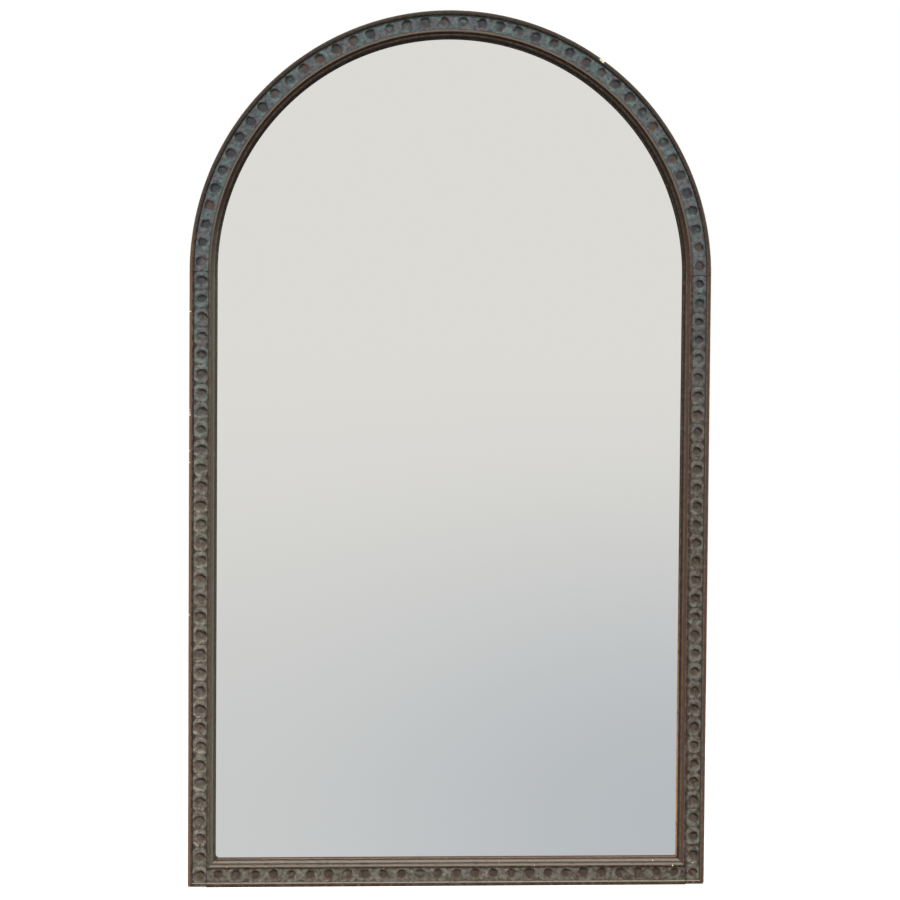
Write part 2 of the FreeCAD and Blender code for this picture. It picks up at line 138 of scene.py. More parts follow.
class Graph:
    """The node tree of one material or of the world."""

    def __init__(self, tree: bpy.types.NodeTree) -> None:
        """Empties the tree."""
        self.tree = tree
        tree.nodes.clear()

    def add(self, kind: str, settings: dict[str, Any] | None = None,
            inputs: dict[Any, Any] | None = None) -> bpy.types.Node:
        """Adds one node.

        Args:
            kind: the node's type.
            settings: its properties, set first.
            inputs: the values or wires of its sockets, by name or number.

        Returns:
            The node.
        """
        node = self.tree.nodes.new(kind)
        for name, value in (settings or {}).items():
            if name == "stops":
                self.set_stops(node.color_ramp, value)
            else:
                setattr(node, name, value)
        for name, value in (inputs or {}).items():
            if isinstance(value, Wire):
                self.tree.links.new(value.socket, node.inputs[name])
            else:
                node.inputs[name].default_value = value
        return node

    def node(self, kind: str, settings: dict[str, Any] | None = None,
             inputs: dict[Any, Any] | None = None, output: Any = 0) -> Wire:
        """Adds one node and returns one of its outputs, by name or number."""
        return Wire(self, self.add(kind, settings, inputs).outputs[output])

    @staticmethod
    def set_stops(ramp: bpy.types.ColorRamp, stops: Sequence[tuple[float, tuple]]) -> None:
        """Gives a colour ramp its stops.

        Args:
            ramp: the ramp.
            stops: a place and a colour for each.
        """
        while len(ramp.elements) < len(stops):
            ramp.elements.new(1.0)
        for element, (place, colour) in zip(ramp.elements, stops):
            element.position = place
            element.color = colour

    def mix(self, share: Any, first: Any, second: Any) -> Wire:
        """The first colour with a share of the second over it."""
        settings = {"data_type": "RGBA", "blend_type": "MIX", "clamp_factor": True}
        return self.node("ShaderNodeMix", settings, {0: share, 6: first, 7: second}, 2)

    def place(self) -> Wire:
        """The point in the object's own coordinates, in metres."""
        return self.node("ShaderNodeTexCoord", output="Object")

    def attribute(self, name: str, output: str = "Fac") -> Wire:
        """An attribute of the mesh."""
        settings = {"attribute_type": "GEOMETRY", "attribute_name": name}
        return self.node("ShaderNodeAttribute", settings, output=output)

    def axis(self, vector: Wire, name: str) -> Wire:
        """One of a vector's three values: X, Y or Z."""
        return self.node("ShaderNodeSeparateXYZ", {}, {0: vector}, name)

    def vector(self, *values: Any) -> Wire:
        """A vector from three values."""
        return self.node("ShaderNodeCombineXYZ", {}, dict(enumerate(values)))

    def vector_math(self, operation: str, *inputs: Any, output: Any = 0) -> Wire:
        """The result of a Vector Math node."""
        return self.node("ShaderNodeVectorMath", {"operation": operation}, dict(enumerate(inputs)), output)

    def noise(self, vector: Wire, scale: float, detail: float = 3.0, roughness: float = 0.55) -> Wire:
        """Cloudy noise of about 0 to 1 with so many features to a metre, finer layers and their strength."""
        inputs = {"Vector": vector, "Scale": scale, "Detail": detail, "Roughness": roughness}
        return self.node("ShaderNodeTexNoise", {"normalize": True}, inputs)

    def bump(self, height: Wire, strength: float, distance: float) -> Wire:
        """A normal from a height of 0 to 1, its strength, and what a height of 1 is in metres."""
        return self.node("ShaderNodeBump", {}, {"Strength": strength, "Distance": distance, "Height": height})

    def surface(self, values: dict[str, Any]) -> None:
        """Ends a material with a Principled shader whose sockets take these values or wires."""
        shader = self.add("ShaderNodeBsdfPrincipled", {}, values)
        self.add("ShaderNodeOutputMaterial", {}, {"Surface": Wire(self, shader.outputs[0])})

    def mix_shaders(self, share: Wire, first: Wire, second: Wire) -> Wire:
        """The first shader with a share of the second in its stead."""
        return self.node("ShaderNodeMixShader", {}, {0: share, 1: first, 2: second})

    def background(self, colour: Any, strength: float) -> Wire:
        """A background of the world."""
        return self.node("ShaderNodeBackground", {}, {"Color": colour, "Strength": strength})

    def ray_kinds(self) -> tuple[Wire, Wire]:
        """Whether a ray comes from the camera, and whether it is a reflection."""
        path = self.add("ShaderNodeLightPath")
        return Wire(self, path.outputs["Is Camera Ray"]), Wire(self, path.outputs["Is Glossy Ray"])


def new_material(name: str) -> tuple[bpy.types.Material, Graph]:
    """A material with an empty graph.

    Args:
        name: the material's name.

    Returns:
        The material and its graph.
    """
    material = bpy.data.materials.new(name)
    material.use_nodes = True
    return material, Graph(material.node_tree)


# Finishes

@dataclass(frozen=True)
class ShadedPaintLines:
    """The colours of the plain mouldings on one side of the frame, by distance from the outer edge in mm,
    with that side's painted light and shade in them.
    """

    stops: tuple[tuple[float, tuple[int, int, int]], ...]
    reach: float = 52.0

    def colour(self, graph: Graph, distance: Wire) -> Wire:
        """Adds the ramp that gives the colour at a distance from the outer edge, in millimetres."""
        stops = [(place / self.reach, srgb(*shade)) for place, shade in self.stops]
        return graph.node("ShaderNodeValToRGB", {"stops": stops}, {"Fac": distance * (1 / self.reach)})


# Each line of these holds the two sides of one strip, from the rim to the sight edge.
LEFT_LINES = ShadedPaintLines((
    (0.0, (114, 85, 60)), (4.3, (106, 79, 58)),
    (4.9, (58, 46, 41)), (8.2, (62, 52, 46)),
    (33.4, (78, 58, 50)), (37.2, (81, 60, 52)),
    (37.9, (84, 85, 73)), (44.4, (88, 89, 77)),
    (45.2, (74, 64, 54)), (48.0, (70, 62, 52)),
    (48.8, (56, 48, 41)), (51.5, (66, 56, 46)),
))
RIGHT_LINES = ShadedPaintLines((
    (0.0, (88, 62, 48)), (5.2, (78, 56, 45)),
    (5.9, (84, 80, 71)), (8.2, (74, 70, 61)),
    (33.4, (52, 41, 33)), (36.4, (56, 43, 35)),
    (36.9, (90, 68, 58)), (41.0, (86, 66, 56)),
    (41.6, (80, 68, 57)), (45.6, (76, 64, 54)),
    (46.3, (50, 40, 32)), (50.0, (44, 35, 28)), (52.0, (64, 50, 38)),
))
# Painted highlights: the rim's inner slope, the fillet's slope and the bead are painted pale, where light
# from above falls on the rail.
RAIL_LINES_LIT = ShadedPaintLines((
    (0.0, (66, 46, 34)), (6.0, (62, 46, 38)),
    (6.6, (144, 136, 121)), (8.2, (124, 118, 104)),
    (33.2, (62, 46, 37)), (36.0, (70, 52, 43)),
    (36.8, (122, 115, 103)), (41.2, (120, 112, 100)),
    (41.7, (80, 72, 63)), (42.5, (90, 80, 72)),
    (43.2, (127, 117, 107)), (46.8, (119, 110, 100)),
    (47.5, (64, 50, 40)), (50.0, (58, 44, 34)), (52.0, (62, 48, 38)),
))
# Painted shade: the rim's inner slope and the inner mouldings down to the glass are painted dark, where the
# arch lies in shade.
ARCH_LINES_SHADED = ShadedPaintLines((
    (0.0, (78, 66, 54)), (3.6, (66, 60, 54)),
    (4.6, (52, 44, 38)), (8.3, (50, 43, 37)),
    (33.3, (102, 91, 82)), (36.6, (106, 93, 81)),
    (37.6, (58, 44, 34)), (41.0, (50, 39, 30)),
    (42.0, (50, 42, 34)), (47.4, (46, 39, 32)),
    (48.8, (24, 19, 16)), (52.0, (20, 16, 14)),
))


@dataclass(frozen=True)
class Surroundings:
    """Where a point of the frame lies, and the noises that break its paint, the broadest first."""

    height: Wire
    side: Wire
    up_high: Wire
    low: Wire
    on_arch: Wire
    on_right: Wire
    on_rail: Wire
    blotches: Wire
    smears: Wire
    patches: Wire
    flecks: Wire
    spots: Wire
    grit: Wire


@dataclass(frozen=True)
class PaintedCarving:
    """Old grey-green paint over brown, rubbing off along the edges, with painted highlights on the rail and
    the roundels' rings, and dirt and painted shade in the hollows, along the creases and on the arch's inner
    mouldings.

    Heights and widths of the frame are in metres, places across the moulding in millimetres.
    """

    olive: Colour = srgb(100, 98, 88)
    slate: Colour = srgb(80, 96, 95)
    lilac: Colour = srgb(98, 91, 96)
    mauve: Colour = srgb(88, 76, 69)
    dusk: Colour = srgb(62, 64, 67)
    pale_olive: Colour = srgb(142, 138, 125)
    pale_teal: Colour = srgb(112, 128, 124)
    umber: Colour = srgb(68, 54, 44)
    rust: Colour = srgb(112, 78, 56)
    bone: Colour = srgb(136, 126, 112)
    soot_and_shade: Colour = srgb(32, 28, 25)
    gesso: Colour = srgb(224, 213, 184)
    lip_wall_gold: Colour = srgb(206, 154, 102)
    half_width: float = 0.468
    mitre_softness: float = 0.4 * MM
    slate_heights: tuple[float, float] = (0.62, 1.2)
    arch_heights: tuple[float, float] = (1.04, 1.26)
    low_heights: tuple[float, float] = (0.5, 0.05)
    lip_wall_gold_heights: tuple[float, float] = (0.75, 0.15)
    band_places: tuple[float, float] = (8.4, 33.3)

    def material(self) -> bpy.types.Material:
        """Builds the finish. Returns the material."""
        material, graph = new_material("grey_green_paint")
        at = self.surroundings(graph)
        edge = graph.attribute("zone") + (at.spots - 0.5) * 1.5
        # Rubbing of the paint, and a painted highlight on the lit side of each roundel's ring.
        rubbed_and_highlit = graph.attribute("wear") * at.patches.step(0.42, 0.62)
        band = edge.between(*self.band_places, 0.25)
        colour = graph.mix(band, self.lines(graph, at, edge, rubbed_and_highlit), self.carved_band(graph, at, rubbed_and_highlit))
        # Soot and painted shade darken the hollows, the creases and the shadow arcs.
        colour = graph.mix(self.soot_and_shade_share(graph, at, edge), colour, self.soot_and_shade)
        chipped = graph.attribute("chip")
        colour = graph.mix(chipped.step(0.15, 0.4) * 0.8, colour, self.rust)
        bright = chipped.step(0.55, 0.75)
        colour = graph.mix(bright, colour, self.gesso)
        relief = at.patches * 0.5 + at.spots * 0.35 + at.grit * 0.15 - bright * 0.3
        graph.surface({
            "Base Color": colour,
            "Roughness": 0.64 + at.patches * 0.2 - rubbed_and_highlit * 0.12 + bright * 0.16,
            "Specular IOR Level": 0.12,
            "Normal": graph.bump(relief, 0.8, 0.5 * MM),
        })
        return material

    def surroundings(self, graph: Graph) -> Surroundings:
        """Works out where a point lies and which noises it has.

        Args:
            graph: the material's graph.

        Returns:
            The shares and noises.
        """
        place = graph.place()
        height = graph.axis(place, "Z")
        side = graph.axis(place, "X")
        on_arch = height.step(*self.arch_heights)
        from_mitre = self.half_width - side.math("ABSOLUTE") - height
        return Surroundings(
            height=height,
            side=side,
            up_high=height.step(*self.slate_heights),
            low=height.step(*self.low_heights),
            on_arch=on_arch,
            on_right=side.step(0.0, 0.38) * (1 - on_arch),
            on_rail=from_mitre.step(-self.mitre_softness, self.mitre_softness),
            blotches=graph.noise(place, 24, 1),
            smears=graph.noise(place, 60),
            patches=graph.noise(place, 140),
            flecks=graph.noise(place, 165, 3, 0.5),
            spots=graph.noise(place, 420, 3, 0.6),
            grit=graph.noise(place, 1500, 3, 0.7),
        )

    def carved_band(self, graph: Graph, at: Surroundings, rubbed_and_highlit: Wire) -> Wire:
        """The carved band's paint, with rubbing and flecks, the hollows darker and a painted highlight on the
        rings' lit sides.

        Args:
            graph: the material's graph.
            at: where the point lies.
            rubbed_and_highlit: how far its paint is rubbing off, with a painted highlight on the rings' lit
                sides.

        Returns:
            The colour.
        """
        pale = graph.mix(at.up_high.maximum(at.on_right * 0.4), self.pale_olive, self.pale_teal)
        coat = self.coat(graph, at, pale)
        coat = graph.mix(at.flecks.step(0.56, 0.68) * (0.5 - at.on_right * 0.2), coat, pale)
        # Pale where the paint rubs off, and as a painted highlight on the rings' lit sides.
        worn_and_highlit = rubbed_and_highlit * (0.75 - at.up_high * 0.35 - at.on_rail * 0.4 - at.on_right * 0.32)
        coat = graph.mix(worn_and_highlit, coat, pale)
        dark = graph.mix(at.up_high, self.umber, self.dusk)
        coat = graph.mix(at.flecks.step(0.46, 0.34) * 0.65, coat, dark)
        in_hollows = graph.mix(at.on_right.maximum(at.on_rail), self.mauve, self.umber)
        in_hollows = graph.mix(at.up_high, in_hollows, self.dusk)
        in_hollows = graph.mix(at.blotches.step(0.5, 0.62) * (0.5 - at.on_rail * 0.35), in_hollows, self.rust)
        deep = (graph.attribute("depth") + (at.flecks - 0.5) * 2).step(0.3, 1.7) * at.smears.step(0.75, 0.4)
        return graph.mix(deep * (at.up_high.maximum(at.on_rail) * 0.3 + 0.6), coat, in_hollows)

    def coat(self, graph: Graph, at: Surroundings, pale: Wire) -> Wire:
        """The band's coat of paint: olive at the left, browner at the right and slate higher up.

        Args:
            graph: the material's graph.
            at: where the point lies.
            pale: the colour of its palest smears.

        Returns:
            The colour.
        """
        slate = graph.mix(at.smears.step(0.42, 0.56), self.lilac, self.slate)
        coat = graph.mix(at.up_high * 0.85 + at.blotches.step(0.5, 0.65) * 0.15, self.olive, slate)
        dull = graph.mix(at.up_high, self.mauve, self.dusk)
        coat = graph.mix(at.patches.step(0.42, 0.62) * 0.8, coat, dull)
        brown_share = (at.on_right * 0.85 + at.low * 0.5 + 0.2) * (1 - at.up_high)
        coat = graph.mix(at.smears.step(0.44, 0.62) * brown_share, coat, self.umber)
        return graph.mix(at.smears.step(0.52, 0.7) * (0.3 + at.up_high * 0.25), coat, pale)

    def lines(self, graph: Graph, at: Surroundings, edge: Wire, rubbed_and_highlit: Wire) -> Wire:
        """The plain mouldings on both sides of the band, with their painted light and shade, and a pale gold
        low down on the lip wall.

        Args:
            graph: the material's graph.
            at: where the point lies.
            edge: its distance from the outer edge, made uneven.
            rubbed_and_highlit: how far its paint is rubbing off, with a painted highlight on the rings' lit
                sides.

        Returns:
            The colour.
        """
        on_sides = (LEFT_LINES.colour(graph, edge), RIGHT_LINES.colour(graph, edge))
        lines = graph.mix(at.side.step(-0.2, 0.2), *on_sides)
        # The rail's ramp holds painted highlights and the arch's ramp holds painted shade.
        lines = graph.mix(at.on_rail, lines, RAIL_LINES_LIT.colour(graph, edge))
        lines = graph.mix(at.on_arch, lines, ARCH_LINES_SHADED.colour(graph, edge))
        lines = graph.mix(at.patches.step(0.5, 0.66) * 0.4 * (1 - at.on_arch * 0.7), lines, self.umber)
        lines = graph.mix(at.smears.step(0.58, 0.72) * 0.3 * (1 - at.on_arch), lines, self.olive)
        lines = graph.mix(rubbed_and_highlit * (0.3 - at.on_arch * 0.15), lines, self.bone)
        zone = graph.attribute("zone")
        # A pale gold on the lip wall, low down at the right and faintly on the rail.
        on_side = at.side.step(0.0, 0.1) * (1 - at.on_rail) * zone.step(50.1, 50.5)
        lip_wall = on_side.maximum(at.on_rail * zone.step(55.5, 57.0) * 0.08)
        lip_wall_gold = lip_wall * at.height.step(*self.lip_wall_gold_heights) * at.smears.step(0.25, 0.5)
        return graph.mix(lip_wall_gold, lines, self.lip_wall_gold)

    @staticmethod
    def soot_and_shade_share(graph: Graph, at: Surroundings, edge: Wire) -> Wire:
        """How far the paint darkens: dirt and painted shade deeper in the hollows, painted shade along the
        band's two edges, in the roundels' shadow arcs and in the notches, and dirt at the joints and in
        specks.

        Args:
            graph: the material's graph.
            at: where the point lies.
            edge: its distance from the outer edge, made uneven.

        Returns:
            The share.
        """
        inner_edge = (edge + at.on_right * 1.4).between(32.9, 34.0, 0.6)
        # Painted shade in the creases along the band's two edges.
        edges = edge.between(7.9, 8.6, 0.5).maximum(inner_edge) * 0.42
        joint = graph.attribute("seam").step(0.8, 0.25) * (0.6 - at.on_arch * 0.25)
        # Painted shadow arcs in the roundels and painted shade in the notches.
        darkened = graph.attribute("grime") * (0.62 - at.up_high * 0.1)
        # Deeper in the hollows it darkens, partly dirt and partly painted shade.
        soot_and_shade = (graph.attribute("depth").step(0.6, 2.4) * 0.15).maximum(darkened).maximum(edges).maximum(joint)
        return soot_and_shade.maximum(at.grit.step(0.6, 0.72) * 0.3)


@dataclass(frozen=True)
class BareWood:
    """Old softwood that was never painted, greyed and stained.

    The grain runs along an axis, or along the moulding where that is called carving. Lengths are in metres.
    """

    name: str
    pale: Colour
    dark: Colour
    stain: Colour
    along: str = "Z"
    length_share: float = 0.03
    joint_pitch: float = 0.0
    first_joint: float = 0.0
    joint_grime: float = 5.0 * MM
    joint_sides: tuple[float, float] = (1.6 * MM, 0.8 * MM)
    joint_colour: Colour = srgb(26, 22, 19)

    def material(self) -> bpy.types.Material:
        """Builds the finish. Returns the material."""
        material, graph = new_material(self.name)
        place = graph.place()
        carved = self.along == "carving"
        grain_axis = "X" if carved else self.along
        stretch = tuple(self.length_share if axis == grain_axis else 1.0 for axis in "XYZ")
        straight_place = graph.attribute("carving", "Vector") if carved else place
        drawn_out = graph.vector_math("MULTIPLY", straight_place, stretch)
        # The number of a board moves its grain and its heart to a place of their own.
        board = graph.attribute("board")
        apart = graph.vector(board * 0.9, board * 2.3, board * 1.7)
        heart = graph.vector(board * 0.061, board * 0.013 + 0.03, board * 0.37)
        grain_place = graph.vector_math("ADD", drawn_out, apart)
        rings = graph.noise(grain_place, 42, 3, 0.6)
        fibres = graph.noise(grain_place, 420, 3, 0.65)
        stains = graph.noise(place, 7, 4, 0.65)
        specks = graph.noise(place, 300, 2, 0.6)
        settings = {"wave_type": "RINGS", "rings_direction": grain_axis, "wave_profile": "SAW"}
        lines = graph.node("ShaderNodeTexWave", settings, {
            "Vector": graph.vector_math("ADD", drawn_out, heart),
            "Scale": 30.0,
            "Distortion": 16.0,
            "Detail": 3.0,
            "Detail Scale": 0.5,
            "Detail Roughness": 0.6,
        }, "Fac")
        colour = graph.mix(rings.step(0.3, 0.7) * 0.6, self.pale, self.dark)
        colour = graph.mix(lines.step(0.3, 1.0) * 0.6, colour, self.dark)
        colour = graph.mix(fibres.step(0.5, 0.66) * 0.55, colour, self.stain)
        colour = graph.mix((board * 2.6).math("SINE") * 0.22 + 0.1, colour, self.stain)
        colour = graph.mix(stains.step(0.5, 0.72) * 0.55, colour, self.stain)
        colour = graph.mix(specks.step(0.66, 0.74) * 0.6, colour, self.stain)
        if self.joint_pitch:
            turn = ((graph.axis(place, "X") - self.first_joint) * (1 / self.joint_pitch)).math("FRACT")
            from_joint = (0.5 - (turn - 0.5).math("ABSOLUTE")) * self.joint_pitch
            darkened = from_joint.step(self.joint_grime, 0.0) * stains.step(0.2, 0.6)
            colour = graph.mix(darkened, colour, self.stain)
            colour = graph.mix(from_joint.step(*self.joint_sides) * 0.8, colour, self.joint_colour)
        graph.surface({
            "Base Color": colour,
            "Roughness": 0.72 + fibres * 0.16,
            "Normal": graph.bump(fibres * 0.6 + lines * 0.4, 0.7, 0.4 * MM),
        })
        return material


@dataclass(frozen=True)
class SilveredGlass:
    """Plate glass with silver behind it: a mirror from the front, lead-grey paint at the back."""

    silver: Colour = (0.93, 0.94, 0.94, 1.0)
    tarnished: Colour = srgb(150, 146, 138)
    backing: Colour = srgb(118, 112, 104)
    brushed: Colour = srgb(92, 86, 80)
    front_levels: tuple[float, float] = (25.6 * MM, 25.2 * MM)

    def material(self) -> bpy.types.Material:
        """Builds the finish. Returns the material."""
        material, graph = new_material("silvered_glass")
        place = graph.place()
        level = graph.axis(place, "Y") * -1
        painted = level.step(*self.front_levels)
        clouds = graph.noise(place, 6, 2)
        tarnish = graph.noise(place, 600, 2, 0.7).step(0.78, 0.84) * clouds.step(0.5, 0.7)
        face = graph.mix(tarnish * 0.35, self.silver, self.tarnished)
        back = graph.mix(clouds * 0.5, self.backing, self.brushed)
        graph.surface({
            "Base Color": graph.mix(painted, face, back),
            "Metallic": 1 - painted,
            "Roughness": painted * 0.6 + 0.015,
            "Normal": graph.bump(graph.noise(place, 1.6, 1), 0.25, 0.6 * MM),
        })
        return material


@dataclass(frozen=True)
class OldIron:
    """Dark iron, browned by rust, or steel with a dull plate."""

    name: str
    metal: Colour
    rust: Colour
    rusted: float
    roughness: float
    metallic: float = 0.85

    def material(self) -> bpy.types.Material:
        """Builds the finish. Returns the material."""
        material, graph = new_material(self.name)
        place = graph.place()
        patches = graph.noise(place, 260, 4, 0.65)
        grit = graph.noise(place, 1800, 3, 0.7)
        rust = patches.step(0.72 - self.rusted * 0.4, 0.8 - self.rusted * 0.3)
        graph.surface({
            "Base Color": graph.mix(rust, self.metal, self.rust),
            "Metallic": self.metallic * (1 - rust * 0.9),
            "Roughness": self.roughness + rust * 0.35 + grit * 0.1,
            "Normal": graph.bump(patches * 0.5 + grit * 0.5, 0.6, 0.2 * MM),
        })
        return material


# The carved moulding

class Part(Enum):
    """Which part of the moulding's section a column of the mesh lies on."""

    WALL = "outer wall"
    RIM = "rim"
    BAND = "carved band"
    INNER = "inner mouldings"
    REBATE = "rebates"
    BACK = "back"


@dataclass(frozen=True)
class Column:
    """One line of the moulding that runs along it. Sizes are in millimetres."""

    across: float
    level: float
    part: Part
    wear: float = 0.0
    shoulder: bool = False
    band_share: float = 0.0

    @property
    def mitred(self) -> bool:
        """Whether the line ends at the corner's mitre."""
        return self.part in (Part.INNER, Part.REBATE)

    @property
    def shown(self) -> bool:
        """Whether the line lies on the painted front or the outer wall."""
        return self.part in (Part.WALL, Part.RIM, Part.BAND, Part.INNER)


@dataclass(frozen=True)
class MouldingSizes:
    """The moulding's sizes, as the frame's. All are in millimetres."""

    half_width: float = 468.0
    springing: float = 1107.0
    band_start: float = 8.3
    band_end: float = 33.5
    board_rebate: float = 28.0
    glass_rebate: float = 40.0
    ledge_level: float = 12.0
    glass_level: float = 26.0
    lip_level: float = 36.0
    fillet_level: float = 40.5
    band_level: float = 38.5
    shoulder_reach: float = 440.0
    rim_level: float = 42.0
    lip_wall_level: float = 35.5
    undercut: float = 1.1
    sight_edge: float = 49.3
    wall_zone: float = 50.0
    left_sight_corner: float = 7.0
    right_sight_corner: float = 3.0
    lip_start: float = 46.0
    bead_middle: float = 43.65
    bead_half: float = 2.25
    bead_foot: float = 38.0
    bead_rise: float = 1.9
    roundel_radius: float = 9.9
    roundel_depth: float = 3.4
    dish_wall: float = 4.0
    ring_width: float = 6.4
    ring_rise: float = 0.3
    cut_depth: float = 0.12
    cut_half_width: float = 1.5
    tie_drop: float = 1.2
    dimple_radius: float = 1.9
    dimple_depth: float = 1.2
    notch_reach: float = 7.4
    notch_half_length: float = 8.0
    notch_depth: float = 2.1
    foot_corner: float = 3.5
    foot_lift: float = 2.0
    mitre_fade: float = 40.0

    @property
    def band_centre(self) -> float:
        """The middle of the carved band."""
        return (self.band_start + self.band_end) / 2

    @property
    def band_half(self) -> float:
        """Half the carved band's width."""
        return (self.band_end - self.band_start) / 2

    @property
    def butt(self) -> float:
        """How far from the middle the rail meets the stiles."""
        return self.half_width - self.band_end


@dataclass(frozen=True)
class HandWork:
    """How uneven the carving is and how far its paint rubs off, with its painted highlights and shadow arcs.

    Lengths are in millimetres, shares are of the size that they belong to, and paces say how often a noise
    turns in a millimetre. A lean says how far a roundel's steep side differs from its shallow one.
    """

    shift_along: float = 0.9
    shift_across: float = 0.7
    radius_shares: tuple[float, float] = (0.93, 1.06)
    depth_shares: tuple[float, float] = (0.72, 1.0)
    notch_shares: tuple[float, float] = (0.35, 1.0)
    dimple_shares: tuple[float, float] = (0.2, 1.0)
    out_of_round: float = 0.16
    out_of_round_pace: float = 0.16
    wall_lean: float = 0.5
    depth_lean: float = 0.16
    # A painted highlight: the ring is paler on the roundel's shallow side, where light falls.
    highlight_lean: float = 0.3
    # Painted shadow: the roundel's steep side darkens between these leans.
    shadow_arc_leans: tuple[float, float] = (0.2, 0.75)
    brim_start: float = -0.2
    rubbed_ring: tuple[float, float] = (0.3, 2.2)
    unrubbed_start: float = 3.5
    unrubbed_share: float = 0.1
    tie_shares: tuple[float, float] = (0.35, 0.85)
    wear_off_tie: float = 0.3
    notch_steepness: float = 2.6
    grain_height: float = 0.34
    grain_paces: tuple[float, float] = (0.32, 0.42)
    uneven_heights: tuple[float, float] = (0.16, 0.1)
    uneven_paces: tuple[float, float] = (0.11, 0.16)
    uneven_detail: float = 3.1
    dent_edges: tuple[float, ...] = (0.4, 0.4, 0.4, 6.3, 34.2, 38.0, 43.6, 49.6)
    dent_radii: tuple[float, float] = (0.9, 2.2)
    dent_depth_shares: tuple[float, float] = (0.12, 0.3)
    dent_grounds: tuple[float, ...] = (0.0, 0.0, 0.3, 0.45)


SIZES = MouldingSizes()
HAND = HandWork()
CELL_DIVISIONS = 32
BEAD_DIVISIONS = 8
ROUND_SHARE = 0.625  # the share of a cell's mesh that is bent round its roundel
ROUND_MARGIN = 0.9  # how far past the roundel's radius it is round, in millimetres
SLIVER_AREA = 1e-9  # hidden faces smaller than this are dropped, in square metres
# The rim's places across, levels and wear
RIM_PROFILE = ((0.0, 40.9, 0.6), (0.35, 41.65, 1.0), (1.1, 42.0, 1.0), (2.8, 42.0, 0.25), (4.8, 42.0, 0.25),
               (5.9, 42.0, 0.8), (6.45, 41.75, 1.0), (6.8, 41.2, 0.7), (7.5, 39.9, 0.1), (8.1, 38.8, 0.0),
               (8.3, 38.5, 0.0))


def rim_level(distance: float) -> float:
    """How high the rim stands at a distance from the frame's outer edge.

    Args:
        distance: the distance, in millimetres.

    Returns:
        The level above the back plane.
    """
    for (near, low, _), (far, high, _) in zip(RIM_PROFILE, RIM_PROFILE[1:]):
        if distance <= far:
            return low + (high - low) * max(0.0, distance - near) / (far - near)
    return SIZES.band_level


def section_columns() -> list[Column]:
    """The lines of the moulding's section, from the back round the front to the back again.

    Returns:
        The columns in order. The last meets the first.
    """
    s = SIZES
    ledge = s.ledge_level
    columns = [
        Column(0.5, 0.0, Part.BACK, shoulder=True),
        Column(0.0, 0.5, Part.WALL, shoulder=True),
        Column(0.0, ledge, Part.WALL, shoulder=True),
        Column(0.0, ledge, Part.WALL),
    ]
    columns += [Column(0.0, level, Part.WALL) for level in (22.0, 31.0, 36.0, 38.5, 40.0)]
    columns += [Column(across, level, Part.RIM, wear) for across, level, wear in RIM_PROFILE[:-1]]
    for index in range(CELL_DIVISIONS + 1):
        share = 2 * index / CELL_DIVISIONS - 1
        columns.append(Column(s.band_centre + share * s.band_half, s.band_level, Part.BAND, band_share=share))
    inner = [(s.band_end, s.band_level, 0), (33.62, 38.9, 0), (33.85, 40.1, 0.7),
             (34.25, s.fillet_level, 1.0), (36.0, s.fillet_level, 0.4), (37.7, s.fillet_level, 0.8),
             (38.1, 40.2, 1.0), (38.6, 38.6, 0.1)]
    inner += [(across, s.bead_foot, 0) for across in (38.9, 40.1, 41.3)]
    for index in range(BEAD_DIVISIONS + 1):
        angle = math.pi * index / BEAD_DIVISIONS
        across = s.bead_middle - s.bead_half * math.cos(angle)
        inner.append((across, s.bead_foot + s.bead_rise * math.sin(angle), 0.7 * math.sin(angle) ** 2))
    wall_foot = s.sight_edge - s.undercut
    inner += [(45.95, 36.25, 0), (46.2, s.lip_level, 0), (47.6, s.lip_level, 0.2),
              (s.sight_edge - 0.7, s.lip_level, 0.6), (s.sight_edge - 0.2, 35.75, 0.8),
              (s.sight_edge, 35.3, 0.3), (s.sight_edge - 0.15, 34.0, 0), (wall_foot, 26.8, 0)]
    columns += [Column(across, level, Part.INNER, wear) for across, level, wear in inner]
    rebates = [(wall_foot, 26.3), (wall_foot - 0.3, s.glass_level), (s.glass_rebate, s.glass_level),
               (s.glass_rebate, ledge), (s.band_end, ledge)]
    columns += [Column(across, level, Part.REBATE) for across, level in rebates]
    columns += [Column(across, ledge, Part.BACK) for across in (s.band_end, s.board_rebate)]
    back = [(s.board_rebate, ledge), (s.board_rebate, 0.4), (s.board_rebate - 0.4, 0.0), (0.5, 0.0)]
    columns += [Column(across, level, Part.BACK, shoulder=True) for across, level in back]
    return columns


@dataclass(frozen=True)
class Cell:
    """The stretch of band round one roundel, in millimetres along the run."""

    low: float
    centre: float
    high: float

    def reach(self, share: float) -> float:
        """How far the cell runs from its centre on the side where a share lies."""
        return self.high - self.centre if share > 0 else self.centre - self.low


@dataclass(frozen=True)
class Row:
    """One line of the mesh across the moulding."""

    along: float
    cell: Cell | None = None
    share: float = 0.0
    shoulder: bool = False


@dataclass(frozen=True)
class Chip:
    """A place where the paint and its white ground have broken away. Sizes are in millimetres."""

    along: float
    across: float
    radius: float
    depth: float
    ground: float


